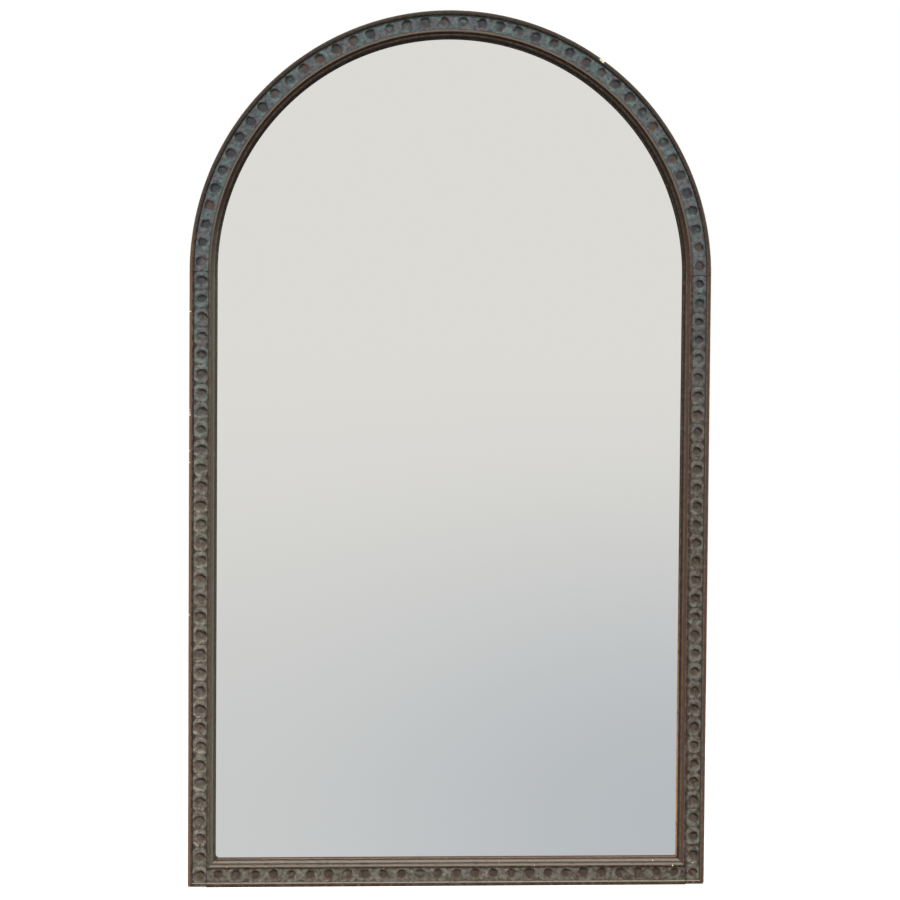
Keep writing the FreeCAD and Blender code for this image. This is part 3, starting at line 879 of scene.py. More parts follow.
@dataclass
class Carving:
    """The roundels and ties of one run, each a little different, as cut by hand."""

    first: float
    pitch: float
    count: int
    seed: int
    length_share: float = 0.97
    width_share: float = 1.03
    depth_share: float = 1.0
    steep: tuple[float, float] = (0.7, 0.7)
    notched: float = 1.0
    offsets: list[tuple[float, float]] = field(default_factory=list)
    radii: list[float] = field(default_factory=list)
    depths: list[float] = field(default_factory=list)
    ties: list[tuple[float, float]] = field(default_factory=list)

    def __post_init__(self) -> None:
        """Draws the small differences."""
        h = HAND
        dice = random.Random(self.seed)
        for _ in range(self.count + 2):
            shift_along = dice.uniform(-h.shift_along, h.shift_along)
            self.offsets.append((shift_along, dice.uniform(-h.shift_across, h.shift_across)))
            self.radii.append(SIZES.roundel_radius * dice.uniform(*h.radius_shares))
            self.depths.append(SIZES.roundel_depth * self.depth_share * dice.uniform(*h.depth_shares))
            notch_share = dice.uniform(*h.notch_shares) * self.notched
            self.ties.append((notch_share, dice.uniform(*h.dimple_shares)))

    @property
    def centres(self) -> list[float]:
        """Where the roundels' middles lie along the run."""
        return [self.centre(index) for index in range(self.count)]

    def centre(self, index: int) -> float:
        """Where a roundel's middle lies along the run."""
        return self.first + index * self.pitch

    def cut(self, along: float, across: float) -> tuple[float, float, float]:
        """How the carving changes the band's flat face at one point.

        Args:
            along: the place along the run.
            across: the place across the moulding.

        Returns:
            The height above the band's face, below 0 in a hollow, how far its paint is rubbing off, with a
            painted highlight on the ring's lit side, and how much painted shade darkens it.
        """
        s, h = SIZES, HAND
        place = (along - self.first) / self.pitch
        index = min(self.count - 1, max(0, round(place)))
        shift_along, shift_across = self.offsets[index + 1]
        sideways = (across - s.band_centre - shift_across) / self.width_share
        lengthways = (along - self.centre(index) - shift_along) / self.length_share
        pace = h.out_of_round_pace
        wobble = noise.noise(Vector((lengthways * pace, sideways * pace, index * 7.1 + self.seed)))
        radius = self.radii[index + 1] * (1 + h.out_of_round * wobble)
        lean = (self.steep[0] * lengthways + self.steep[1] * sideways) / radius
        outside = math.hypot(lengthways, sideways) - radius
        if outside < 0:
            wall = s.dish_wall * (1 - h.wall_lean * lean)
            depth = self.depths[index + 1] * (1 + h.depth_lean * lean)
            # Inside the dish the steep side gets a painted shadow arc.
            return -depth * smooth_step(-outside, h.brim_start, wall), 0.0, smooth_step(lean, *h.shadow_arc_leans)
        near_tie = smooth_step(abs(lengthways) / radius, *h.tie_shares)
        late = smooth_step(outside, h.unrubbed_start, s.ring_width + 1.0)
        wear = smooth_step(outside, *h.rubbed_ring) * (1 - h.unrubbed_share * late)
        # The ring pales more on its shallow, lit side: a painted highlight on top of the rubbing.
        wear *= (h.wear_off_tie + (1 - h.wear_off_tie) * near_tie) * (1 - h.highlight_lean * lean)
        height, grime = self.tie(along, across, outside)
        grain = noise.noise(Vector((along * h.grain_paces[0], across * h.grain_paces[1], self.seed * 1.3)))
        return height + h.grain_height * grain, wear * (1 - grime), grime

    def tie(self, along: float, across: float, outside: float) -> tuple[float, float]:
        """The ring round a roundel and the tie between two, with its cut, its dimple and its two notches.

        Args:
            along: the place along the run.
            across: the place across the moulding.
            outside: how far it lies outside the roundel.

        Returns:
            The height above the band's face, and how much painted shade darkens the notches.
        """
        s = SIZES
        before = math.floor((along - self.first) / self.pitch)
        notch_share, dimple_share = self.ties[min(self.count, max(0, before + 1))]
        from_tie = abs(along - (self.first + (before + 0.5) * self.pitch))
        height = s.ring_rise * math.sin(math.pi * min(1.0, outside / s.ring_width))
        height -= s.tie_drop * self.notched * smooth_step(outside, s.ring_width - 1, s.ring_width + 3.5)
        height -= s.cut_depth * notch_share * self.notched * max(0.0, 1 - from_tie / s.cut_half_width)
        dimple = math.hypot(from_tie, across - s.band_centre) / s.dimple_radius
        if dimple < 1:
            height -= s.dimple_depth * dimple_share * (1 - dimple * dimple)
        from_edge = s.band_half - abs(across - s.band_centre)
        inside = 1 - from_edge / s.notch_reach - from_tie / s.notch_half_length
        if inside <= 0:
            return height, 0.0
        sunk = min(1.0, inside * HAND.notch_steepness)
        # The notches get painted shade.
        return min(height, -s.notch_depth * notch_share * sunk), notch_share * sunk


@dataclass
class Spot:
    """One point of the moulding while it is being worked out."""

    along: float
    across: float
    level: float
    zone: float
    depth: float = 0.0
    wear: float = 0.0
    grime: float = 0.0
    chip: float = 0.0
    seam: float = FAR


@dataclass
class MouldingPiece:
    """One length of the carved moulding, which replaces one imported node."""

    node: str
    seed: int
    carving: Carving | None = None
    chips: list[Chip] = field(default_factory=list)

    def place(self, spot: Spot) -> Vector:
        """Where a point of the moulding lies in the frame, in millimetres."""
        raise NotImplementedError

    def rows(self) -> list[Row]:
        """The mesh's lines across the moulding, in order along the run."""
        raise NotImplementedError

    def settle(self, row: Row, column: Column, spot: Spot) -> None:
        """Fits a point to the piece's ends."""

    def ends(self) -> list[list[Callable[[Vector], bool]]]:
        """The flat end faces, grouped by end. Each says whether a point lies on it."""
        raise NotImplementedError

    @staticmethod
    def cell_rows(cells: Sequence[Cell]) -> list[Row]:
        """The rows of a chain of cells.

        Args:
            cells: the cells in order.

        Returns:
            The rows, with one where two cells meet.
        """
        rows = []
        for index, cell in enumerate(cells):
            for step in range(1 if index else 0, CELL_DIVISIONS + 1):
                share = 2 * step / CELL_DIVISIONS - 1
                rows.append(Row(cell.centre + share * cell.reach(share), cell, share))
        return rows

    def add_dents(self, length: float, count: int, start: float = 0.0) -> None:
        """Adds small knocks along the edges of the moulding.

        Args:
            length: how far along the run they may lie.
            count: how many there are.
            start: where the run starts.
        """
        dice = random.Random(self.seed + 500)
        for _ in range(count):
            radius = dice.uniform(*HAND.dent_radii)
            along = start + dice.uniform(2, length - 2)
            ground = dice.choice(HAND.dent_grounds)
            across = dice.choice(HAND.dent_edges)
            depth = radius * dice.uniform(*HAND.dent_depth_shares)
            self.chips.append(Chip(along, across, radius, depth, ground))

    def ring_place(self, row: Row, share: float) -> tuple[float, float]:
        """Where a point of the band lies, with the mesh bent into rings round the roundel.

        Args:
            row: the point's row.
            share: its place across the band, -1 to 1.

        Returns:
            The place along and across, in millimetres.
        """
        s = SIZES
        cell = row.cell
        if cell is None:
            return row.along, s.band_centre + share * s.band_half
        ring = max(abs(row.share), abs(share))
        if ring == 0:
            return cell.centre, s.band_centre
        if abs(row.share) >= abs(share):
            angle = math.pi / 4 * share / abs(row.share)
            unit_along, unit_across = math.copysign(math.cos(angle), row.share), math.sin(angle)
        else:
            angle = math.pi / 4 * row.share / abs(share)
            unit_along, unit_across = math.sin(angle), math.copysign(math.cos(angle), share)
        radius = s.roundel_radius + ROUND_MARGIN
        round_along = unit_along * radius * self.carving.length_share
        round_across = unit_across * min(radius * self.carving.width_share, s.band_half - 0.5)
        if ring <= ROUND_SHARE:
            inward = ring / ROUND_SHARE
            return cell.centre + round_along * inward, s.band_centre + round_across * inward
        outward = (ring - ROUND_SHARE) / (1 - ROUND_SHARE)
        square_along = row.share / ring * cell.reach(row.share)
        square_across = share / ring * s.band_half
        return (cell.centre + (1 - outward) * round_along + outward * square_along,
                s.band_centre + (1 - outward) * round_across + outward * square_across)

    def spot(self, row: Row, column: Column) -> Spot:
        """Works out one point of the mesh.

        Args:
            row: its row.
            column: its column.

        Returns:
            The finished point.
        """
        s = SIZES
        on_lip_wall = column.part is Part.INNER and column.level < s.lip_wall_level
        zone = s.wall_zone + s.lip_wall_level - column.level if on_lip_wall else column.across
        spot = Spot(row.along, column.across, column.level, zone, wear=column.wear)
        if column.part is Part.BAND:
            spot.along, spot.across = self.ring_place(row, column.band_share)
            spot.zone = spot.across
            cut, spot.wear, spot.grime = self.carving.cut(spot.along, spot.across)
            if abs(column.band_share) < 1:
                spot.depth = -cut
                spot.level = s.band_level + cut
        self.settle(row, column, spot)
        if column.shown:
            self.work_by_hand(column, spot)
            spot.level = min(spot.level, s.rim_level)
        return spot

    @staticmethod
    def meet_the_mitre(spot: Spot, share: float, top: float, corner: float) -> None:
        """Runs a line of the inner mouldings to the corner's mitre and rounds the sight edge there.

        Args:
            spot: the point, whose place along is changed to its distance from the frame's corner.
            share: how far the point lies between the mitre and the place where the bend ends.
            top: where the bend ends.
            corner: the radius of the sight edge at the corner.
        """
        s = SIZES
        rounding = corner * smooth_step(spot.across, s.lip_start, s.sight_edge)
        first = spot.across + rounding * (1 - math.sqrt(0.5))
        spot.along = first + share * (top - first)
        left = max(0.0, math.sqrt(0.5) * rounding - (spot.along - first))
        spot.across += rounding - math.sqrt(rounding * rounding - left * left)
        spot.seam = spot.along - spot.across

    def work_by_hand(self, column: Column, spot: Spot) -> None:
        """Adds the unevenness of hand work, the knocks and the chips to a point.

        Args:
            column: the point's column.
            spot: the point, which is changed.
        """
        h = HAND
        pace_along, pace_across = h.uneven_paces
        seed_place = Vector((spot.along * pace_along, spot.across * pace_across, self.seed * 3.7))
        broad, fine = h.uneven_heights
        uneven = noise.noise(seed_place) * broad + noise.noise(seed_place * h.uneven_detail) * fine
        front = column.part is not Part.WALL
        if front:
            spot.level -= abs(uneven) if column.part is Part.RIM else -uneven
        round_the_edge = 0.0 if front else SIZES.rim_level - spot.level
        for chip in self.chips:
            if abs(chip.along - spot.along) > chip.radius * 1.6:
                continue
            ragged = 1 + 0.35 * noise.noise(Vector((spot.along * 0.9, spot.across * 0.9, chip.along)))
            sideways = abs(spot.across - chip.across) + round_the_edge
            distance = math.hypot(spot.along - chip.along, sideways * 0.9) / chip.radius * ragged
            if distance < 1:
                share = 1 - distance * distance
                if front:
                    spot.level -= chip.depth * share
                if spot.across < 1.2:
                    spot.across += chip.depth * share * 0.7
                spot.chip = max(spot.chip, chip.ground * min(1.0, share * 2.5))

    def build(self) -> bpy.types.Object:
        """Builds the piece's mesh as one closed skin. Returns the object."""
        rows, columns = self.rows(), section_columns()
        last_row, last_column = len(rows) - 1, len(columns) - 1
        bm = bmesh.new()
        names = ("zone", "depth", "wear", "grime", "chip", "seam")
        layers = {name: bm.verts.layers.float.new(name) for name in names}
        carving = bm.verts.layers.float_vector.new("carving")
        bmesh.ops.create_grid(bm, x_segments=last_row, y_segments=last_column, size=1.0)
        for face in bm.faces:
            low = int((face.calc_center_median().y + 1) / 2 * last_column)
            face.material_index = 0 if columns[low].shown and columns[low + 1].shown else 1
            face.smooth = True
        for vert in bm.verts:
            row = rows[round((vert.co.x + 1) / 2 * last_row)]
            column = columns[round((vert.co.y + 1) / 2 * last_column)]
            spot = self.spot(row, column)
            vert.co = self.place(spot) * MM
            vert[carving] = Vector((spot.along, spot.across, spot.level)) * MM
            for name, layer in layers.items():
                vert[layer] = getattr(spot, name)
        bmesh.ops.remove_doubles(bm, verts=bm.verts, dist=0.002 * MM)
        # Lines that run together at the back leave hidden faces of no area.
        slivers = [face for face in bm.faces if face.material_index and face.calc_area() < SLIVER_AREA]
        bmesh.ops.delete(bm, geom=slivers, context="FACES_ONLY")
        bmesh.ops.delete(bm, geom=[edge for edge in bm.edges if edge.is_wire], context="EDGES")
        self.close_ends(bm, carving)
        bmesh.ops.recalc_face_normals(bm, faces=bm.faces)
        sharpen(bm, 50)
        return finished(bm, f"carved_{self.node}")

    def close_ends(self, bm: bmesh.types.BMesh, carving: bmesh.types.BMLayerItem) -> None:
        """Fills the flat end faces.

        Args:
            bm: the mesh.
            carving: the layer that holds each point's place along, across and up the moulding.
        """
        def where(vert: bmesh.types.BMVert) -> Vector:
            return vert[carving] / MM

        open_edges = [edge for edge in bm.edges if edge.is_boundary]
        open_verts = {vert for edge in open_edges for vert in edge.verts}
        for faces in self.ends():
            added = []
            for index, first in enumerate(faces):
                for second in faces[index + 1:]:
                    shared = [vert for vert in open_verts if first(where(vert)) and second(where(vert))]
                    if len(shared) == 2 and bm.edges.get(shared) is None:
                        added.append(bm.edges.new(shared))
            for lies_on in faces:
                edges = [edge for edge in open_edges + added
                         if all(lies_on(where(vert)) for vert in edge.verts)]
                made = bmesh.ops.edgeloop_fill(bm, edges=edges, mat_nr=1, use_smooth=False)
                if not made["faces"]:
                    LOG.warning("%s: an end face wasn't filled", self.node)


def sharpen(bm: bmesh.types.BMesh, degrees: float) -> None:
    """Marks the edges that are sharper than an angle.

    Args:
        bm: the mesh.
        degrees: the angle.
    """
    limit = math.radians(degrees)
    for edge in bm.edges:
        if len(edge.link_faces) == 2 and edge.calc_face_angle(0.0) > limit:
            edge.smooth = False


def smooth_faces(bm: bmesh.types.BMesh) -> None:
    """Shades every face smooth."""
    for face in bm.faces:
        face.smooth = True


def ease_edges(bm: bmesh.types.BMesh, degrees: float, width: float) -> None:
    """Bevels the edges that are sharper than an angle.

    Args:
        bm: the mesh.
        degrees: the angle.
        width: the bevel's width, in metres.
    """
    sharp = [edge for edge in bm.edges if edge.calc_face_angle(0.0) > math.radians(degrees)]
    bmesh.ops.bevel(bm, geom=sharp, offset=width, affect="EDGES", segments=2, profile=0.5, material=-1,
                    clamp_overlap=True)


def of_kind(parts: Sequence[Any], kind: type) -> list[Any]:
    """Those parts of a mesh that are of one kind."""
    return [part for part in parts if isinstance(part, kind)]


def finished(bm: bmesh.types.BMesh, name: str) -> bpy.types.Object:
    """Turns a bmesh into an object at the origin.

    Args:
        bm: the mesh, which is freed.
        name: the object's name.

    Returns:
        The object.
    """
    mesh = bpy.data.meshes.new(name)
    bm.to_mesh(mesh)
    bm.free()
    piece = bpy.data.objects.new(name, mesh)
    bpy.context.scene.collection.objects.link(piece)
    return piece


def hand_over(piece: bpy.types.Object, node: str, body: str, slot: str,
              *materials: bpy.types.Material) -> None:
    """Gives a piece its materials, its body, the node that it replaces and its slot.

    Args:
        piece: the piece.
        node: the node's name.
        body: what it rides on.
        slot: not used.
        materials: its materials, by the numbers that its faces hold.
    """
    for material in materials:
        piece.data.materials.append(material)
    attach(piece, body)
    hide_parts(node)
    LOG.info("%s: %d faces", piece.name, len(piece.data.polygons))


@dataclass
class Stile(MouldingPiece):
    """A straight stile with the corner roundel at its foot."""

    left: bool = True
    roundels: int = 33
    left_width_share: float = 1.1
    right_width_share: float = 0.95
    corner_cell_share: float = 0.75

    def __post_init__(self) -> None:
        """Sets out the roundels. The first one's middle lies on the corner's diagonal."""
        s = SIZES
        pitch = (s.springing - s.band_centre) / (self.roundels - 0.5)
        width_share = self.left_width_share if self.left else self.right_width_share
        steep = (0.75, 0.65 if self.left else -0.65)
        self.carving = Carving(s.band_centre, pitch, self.roundels, self.seed, 0.9, width_share, steep=steep)
        self.add_dents(s.springing, 16)

    def place(self, spot: Spot) -> Vector:
        """Where a point lies in the frame, in millimetres. The foot stands clear of the floor."""
        s = SIZES
        sideways = spot.across - s.half_width
        height = spot.along + s.foot_lift * max(0.0, 1 - spot.along / s.band_start)
        return Vector((sideways if self.left else -sideways, -spot.level, height))

    def rows(self) -> list[Row]:
        """The mesh's lines across the moulding, from the foot to the springing."""
        s = SIZES
        foot = [Row(height) for height in (0.0, 0.15, 0.5, 1.1, 1.8, 2.7, 3.5, 4.8, 5.9, 6.45, 6.8, 7.5, 8.1)]
        middles = self.carving.centres
        joints = [(low + high) / 2 for low, high in zip(middles, middles[1:])]
        joints[0] = s.band_centre + s.band_half / self.corner_cell_share
        lows = [s.band_start] + joints
        highs = joints + [s.springing]
        return foot + self.cell_rows([Cell(*parts) for parts in zip(lows, middles, highs)])

    def settle(self, row: Row, column: Column, spot: Spot) -> None:
        """Fits a point to the mitre, the rim's return and the rounded foot."""
        s = SIZES
        spot.seam = s.springing - spot.along
        if column.mitred:
            top = s.band_end + s.mitre_fade
            if spot.along < top:
                share = max(0.0, spot.along - s.band_end) / (top - s.band_end)
                corner = s.left_sight_corner if self.left else s.right_sight_corner
                self.meet_the_mitre(spot, share, top, corner)
            return
        if spot.along < s.band_end:
            spot.seam = s.band_end - spot.across
        if spot.along < s.band_start and column.part in (Part.RIM, Part.BAND):
            spot.zone = min(spot.across, spot.along)
            spot.level = rim_level(spot.zone)
            spot.depth = 0.0
            spot.grime = 0.0
            on_rim_edge = 5.8 < spot.along < 7.0 or spot.along < 1.2
            spot.wear = max(spot.wear, 1.0 if on_rim_edge else 0.2)
        if spot.along < s.foot_corner and spot.across < s.band_start:
            inset = s.foot_corner - math.sqrt(s.foot_corner ** 2 - (s.foot_corner - spot.along) ** 2)
            spot.across = inset + spot.across * (s.band_start - inset) / s.band_start

    def ends(self) -> list[list[Callable[[Vector], bool]]]:
        """The foot, the butt against the rail, the mitre and the springing joint."""
        s = SIZES
        return [
            [lambda p: abs(p.x) < NEAR,
             lambda p: abs(p.y - s.band_end) < NEAR and p.x < s.band_end + NEAR,
             lambda p: abs(p.x - p.y) < NEAR and p.y > s.band_end - NEAR],
            [lambda p: abs(p.x - s.springing) < NEAR],
        ]


@dataclass
class Rail(MouldingPiece):
    """The bottom rail, butted to the stiles and mitred at its inner mouldings."""

    pitches: int = 27
    end_steps: tuple[float, ...] = (0.0, 0.9, 1.9, 2.9)

    def __post_init__(self) -> None:
        """Sets out the roundels from the corner roundels of the stiles."""
        s = SIZES
        corner = s.half_width - s.band_centre
        pitch = 2 * corner / self.pitches
        self.carving = Carving(-corner + pitch, pitch, self.pitches - 1, self.seed, depth_share=0.75,
                               steep=(0.0, 1.0), notched=0.45)
        self.add_dents(2 * s.butt, 14, -s.butt)

    def place(self, spot: Spot) -> Vector:
        """Where a point of the moulding lies in the frame, in millimetres."""
        return Vector((spot.along, -spot.level, spot.across))

    def rows(self) -> list[Row]:
        """The mesh's lines across the moulding, from left to right."""
        half = self.carving.pitch / 2
        cells = [Cell(middle - half, middle, middle + half) for middle in self.carving.centres]
        left_end = [Row(-SIZES.butt, shoulder=True)] + [Row(-SIZES.butt + step) for step in self.end_steps]
        right_end = [Row(-row.along, shoulder=row.shoulder) for row in reversed(left_end)]
        return left_end + self.cell_rows(cells) + right_end

    def settle(self, row: Row, column: Column, spot: Spot) -> None:
        """Fits a point to the mitres and to the long shoulders at the back."""
        s = SIZES
        side = math.copysign(1.0, spot.along)
        if column.mitred:
            from_corner = s.half_width - abs(spot.along)
            top = s.band_end + s.mitre_fade
            if from_corner < top:
                corner = s.left_sight_corner if side < 0 else s.right_sight_corner
                self.meet_the_mitre(spot, (from_corner - s.band_end) / s.mitre_fade, top, corner)
                spot.along = side * (s.half_width - spot.along)
            return
        spot.seam = s.butt - abs(spot.along)
        if row.shoulder and column.shoulder:
            spot.along = side * s.shoulder_reach

    def ends(self) -> list[list[Callable[[Vector], bool]]]:
        """The butt, the mitre, the shoulder and its step, at both ends."""
        return [self.end_faces(side) for side in (-1, 1)]

    @staticmethod
    def end_faces(side: int) -> list[Callable[[Vector], bool]]:
        """The flat faces of one end. Side is -1 at the left."""
        s = SIZES
        return [
            lambda p: abs(side * p.x - s.butt) < NEAR and p.z > s.ledge_level - NEAR,
            lambda p: abs(side * p.x + p.y - s.half_width) < NEAR and p.y > s.band_end - NEAR,
            lambda p: abs(side * p.x - s.shoulder_reach) < NEAR,
            lambda p: abs(p.z - s.ledge_level) < NEAR and side * p.x > s.butt - NEAR
            and p.y < s.board_rebate + NEAR,
        ]


@dataclass
class ArchSegment(MouldingPiece):
    """One third of the half-round arch."""

    index: int = 0
    roundels: int = 14
    segments: int = 3

    def __post_init__(self) -> None:
        """Sets out the roundels."""
        pitch = self.length / self.roundels
        self.carving = Carving(pitch / 2, pitch, self.roundels, self.seed, width_share=1.06, depth_share=0.9,
                               steep=(0.0, -1.0), notched=0.3)
        self.add_dents(self.length, 9)

    @property
    def length(self) -> float:
        """The segment's length along the middle of the band."""
        return math.pi / self.segments * (SIZES.half_width - SIZES.band_centre)

    def place(self, spot: Spot) -> Vector:
        """Where a point of the moulding lies in the frame, in millimetres."""
        s = SIZES
        angle = math.pi / self.segments * (self.index + spot.along / self.length)
        radius = s.half_width - spot.across
        return Vector((-radius * math.cos(angle), -spot.level, s.springing + radius * math.sin(angle)))

    def rows(self) -> list[Row]:
        """The mesh's lines across the moulding, round the arch."""
        half = self.carving.pitch / 2
        return self.cell_rows([Cell(middle - half, middle, middle + half) for middle in self.carving.centres])

    def settle(self, row: Row, column: Column, spot: Spot) -> None:
        """Notes how far a point lies from the nearer joint."""
        spot.seam = min(spot.along, self.length - spot.along)

    def ends(self) -> list[list[Callable[[Vector], bool]]]:
        """The joints at both ends."""
        return [[lambda p: abs(p.x) < NEAR], [lambda p: abs(p.x - self.length) < NEAR]]


@dataclass
class CarvedFrame:
    """The carved and painted frame: two stiles, the rail and three arch segments."""

    body: str = "frame"

    def build(self) -> None:
        """Builds and dresses the six pieces."""
        paint = PaintedCarving().material()
        wood_colours = (srgb(178, 140, 98), srgb(146, 110, 74), srgb(92, 70, 50))
        wood = BareWood("bare_inner_wood", *wood_colours, along="carving").material()
        left_chips = [Chip(along, 1.0, radius, 0.4, 1.0) for along, radius in
                      ((1035, 1.7), (860, 1.6), (855, 1.9), (851, 2.1), (787, 1.5), (766, 1.8), (493, 1.6))]
        right_chips = [Chip(39.5, 20.5, 1.8, 0.5, 0.95)]
        rail_chips = [Chip(410.5, 35.0, 1.9, 0.5, 0.95), Chip(374, 44.5, 1.5, 0.4, 0.8),
                      Chip(94, 42.5, 1.3, 0.4, 0.8), Chip(158, 36.5, 1.3, 0.4, 0.8),
                      Chip(-398, 37.0, 2.6, 0.4, 0.62), Chip(-351, 37.2, 2.0, 0.4, 0.58),
                      Chip(-327, 37.5, 1.8, 0.4, 0.62)]
        crown_chips = [Chip(285, 28.5, 3.0, 0.3, 0.5)]
        right_arch_chips = [Chip(36.0, 1.4, 3.2, 0.7, 1.0), Chip(40.0, 1.8, 3.2, 0.7, 1.0)]
        pieces = [
            Stile("left_stile", 11, chips=left_chips, left=True),
            Stile("right_stile", 23, chips=right_chips, left=False),
            Rail("bottom_rail", 37, chips=rail_chips),
            ArchSegment("arch_left", 41, index=0),
            ArchSegment("arch_crown", 53, chips=crown_chips, index=1),
            ArchSegment("arch_right", 67, chips=right_arch_chips, index=2),
        ]
        for piece in pieces:
            hand_over(piece.build(), piece.node, self.body, "carved_paint", paint, wood)


def dress(node: str, material: bpy.types.Material) -> None:
    """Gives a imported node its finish.

    Args:
        node: the node's name.
        material: the finish.
    """
    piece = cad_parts[node]
    piece.data.materials.clear()
    piece.data.materials.append(material)
    LOG.info("%s: kept from the frame", node)


def softened(node: str, name: str, width: float, number: int = 0) -> bpy.types.Object:
    """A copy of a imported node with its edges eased.

    Args:
        node: the node's name.
        name: the new piece's name.
        width: how far the edges are eased, in metres.
        number: which board it is, so that each has a grain of its own.

    Returns:
        The new piece.
    """
    bm = bmesh.new()
    bm.from_mesh(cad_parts[node].data)
    board = bm.verts.layers.float.new("board")
    for vert in bm.verts:
        vert[board] = number
    bmesh.ops.remove_doubles(bm, verts=bm.verts, dist=0.005 * MM)
    bmesh.ops.dissolve_limit(bm, angle_limit=math.radians(1.0), verts=bm.verts, edges=bm.edges)
    ease_edges(bm, 30, width)
    bmesh.ops.recalc_face_normals(bm, faces=bm.faces)
    smooth_faces(bm)
    sharpen(bm, 40)
    return finished(bm, name)


@dataclass
class GlassAndBack:
    """The mirror glass, the blocks that hold it, and the nailed backboards."""

    body: str = "frame"
    boards: int = 5
    board_edge: float = 1.1 * MM
    board_pitch: float = 175.76 * MM
    first_joint: float = -433.4 * MM
    nail_edge: float = 0.3 * MM
    hidden: tuple[str, ...] = ("setting_blocks", "glass_blocks", "tongue_left_springing",
                               "tongue_left_haunch", "tongue_right_haunch", "tongue_right_springing")

    def build(self) -> None:
        """Dresses what stays and builds what replaces a node."""
        dress("mirror_glass", SilveredGlass().material())
        block_colours = (srgb(170, 140, 102), srgb(136, 104, 70), srgb(92, 72, 52))
        block_wood = BareWood("block_wood", *block_colours).material()
        for node in self.hidden:
            dress(node, block_wood)
        board_colours = (srgb(148, 124, 96), srgb(104, 80, 58), srgb(62, 52, 44))
        board_wood = BareWood("backboard_wood", *board_colours, length_share=0.07,
                              joint_pitch=self.board_pitch, first_joint=self.first_joint).material()
        for number in range(1, self.boards + 1):
            node = f"backboard_{number}"
            board = softened(node, f"planed_{node}", self.board_edge, number)
            hand_over(board, node, self.body, "back_wood", board_wood)
        iron = OldIron("nail_iron", srgb(58, 52, 48), srgb(96, 58, 38), 0.6, 0.5).material()
        nails = softened("backboard_nails", "cut_nails", self.nail_edge)
        hand_over(nails, "backboard_nails", self.body, "cut_iron", iron)


@dataclass
class BentWire:
    """A round wire that is drawn along a path by running and turning its end ring. Lengths are in metres."""

    radius: float
    sides: int = 16
    bm: bmesh.types.BMesh = field(default_factory=bmesh.new)
    ring: list[bmesh.types.BMEdge] = field(default_factory=list)

    def start(self, point: Vector, heading: Vector) -> None:
        """Draws the first ring.

        Args:
            point: its middle.
            heading: the way that the wire sets out.
        """
        turn = heading.to_track_quat("Z", "Y").to_matrix().to_4x4()
        bmesh.ops.create_circle(self.bm, cap_ends=False, radius=self.radius, segments=self.sides,
                                matrix=Matrix.Translation(point) @ turn)
        self.ring = list(self.bm.edges)

    def run(self, way: Vector) -> None:
        """Draws the wire straight on by a vector."""
        made = bmesh.ops.extrude_edge_only(self.bm, edges=self.ring)["geom"]
        verts = of_kind(made, bmesh.types.BMVert)
        bmesh.ops.translate(self.bm, verts=verts, vec=way)
        fresh = set(verts)
        self.ring = [edge for edge in of_kind(made, bmesh.types.BMEdge) if set(edge.verts) <= fresh]

    def turn(self, centre: Vector, degrees: float, steps: int) -> None:
        """Bends the wire about an axis that runs from front to back.

        Args:
            centre: a point of the axis.
            degrees: how far it turns.
            steps: how many rings the bend has.
        """
        made = bmesh.ops.spin(self.bm, geom=self.ring, cent=centre, axis=(0, 1, 0), dvec=(0, 0, 0),
                              angle=math.radians(degrees), steps=steps, use_merge=False, use_duplicate=False)
        self.ring = of_kind(made["geom_last"], bmesh.types.BMEdge)

    def close(self, name: str) -> bpy.types.Object:
        """Joins the last ring to the first. Returns the wire as an object of that name."""
        bmesh.ops.remove_doubles(self.bm, verts=self.bm.verts, dist=0.01 * MM)
        bmesh.ops.recalc_face_normals(self.bm, faces=self.bm.faces)
        smooth_faces(self.bm)
        return finished(self.bm, name)


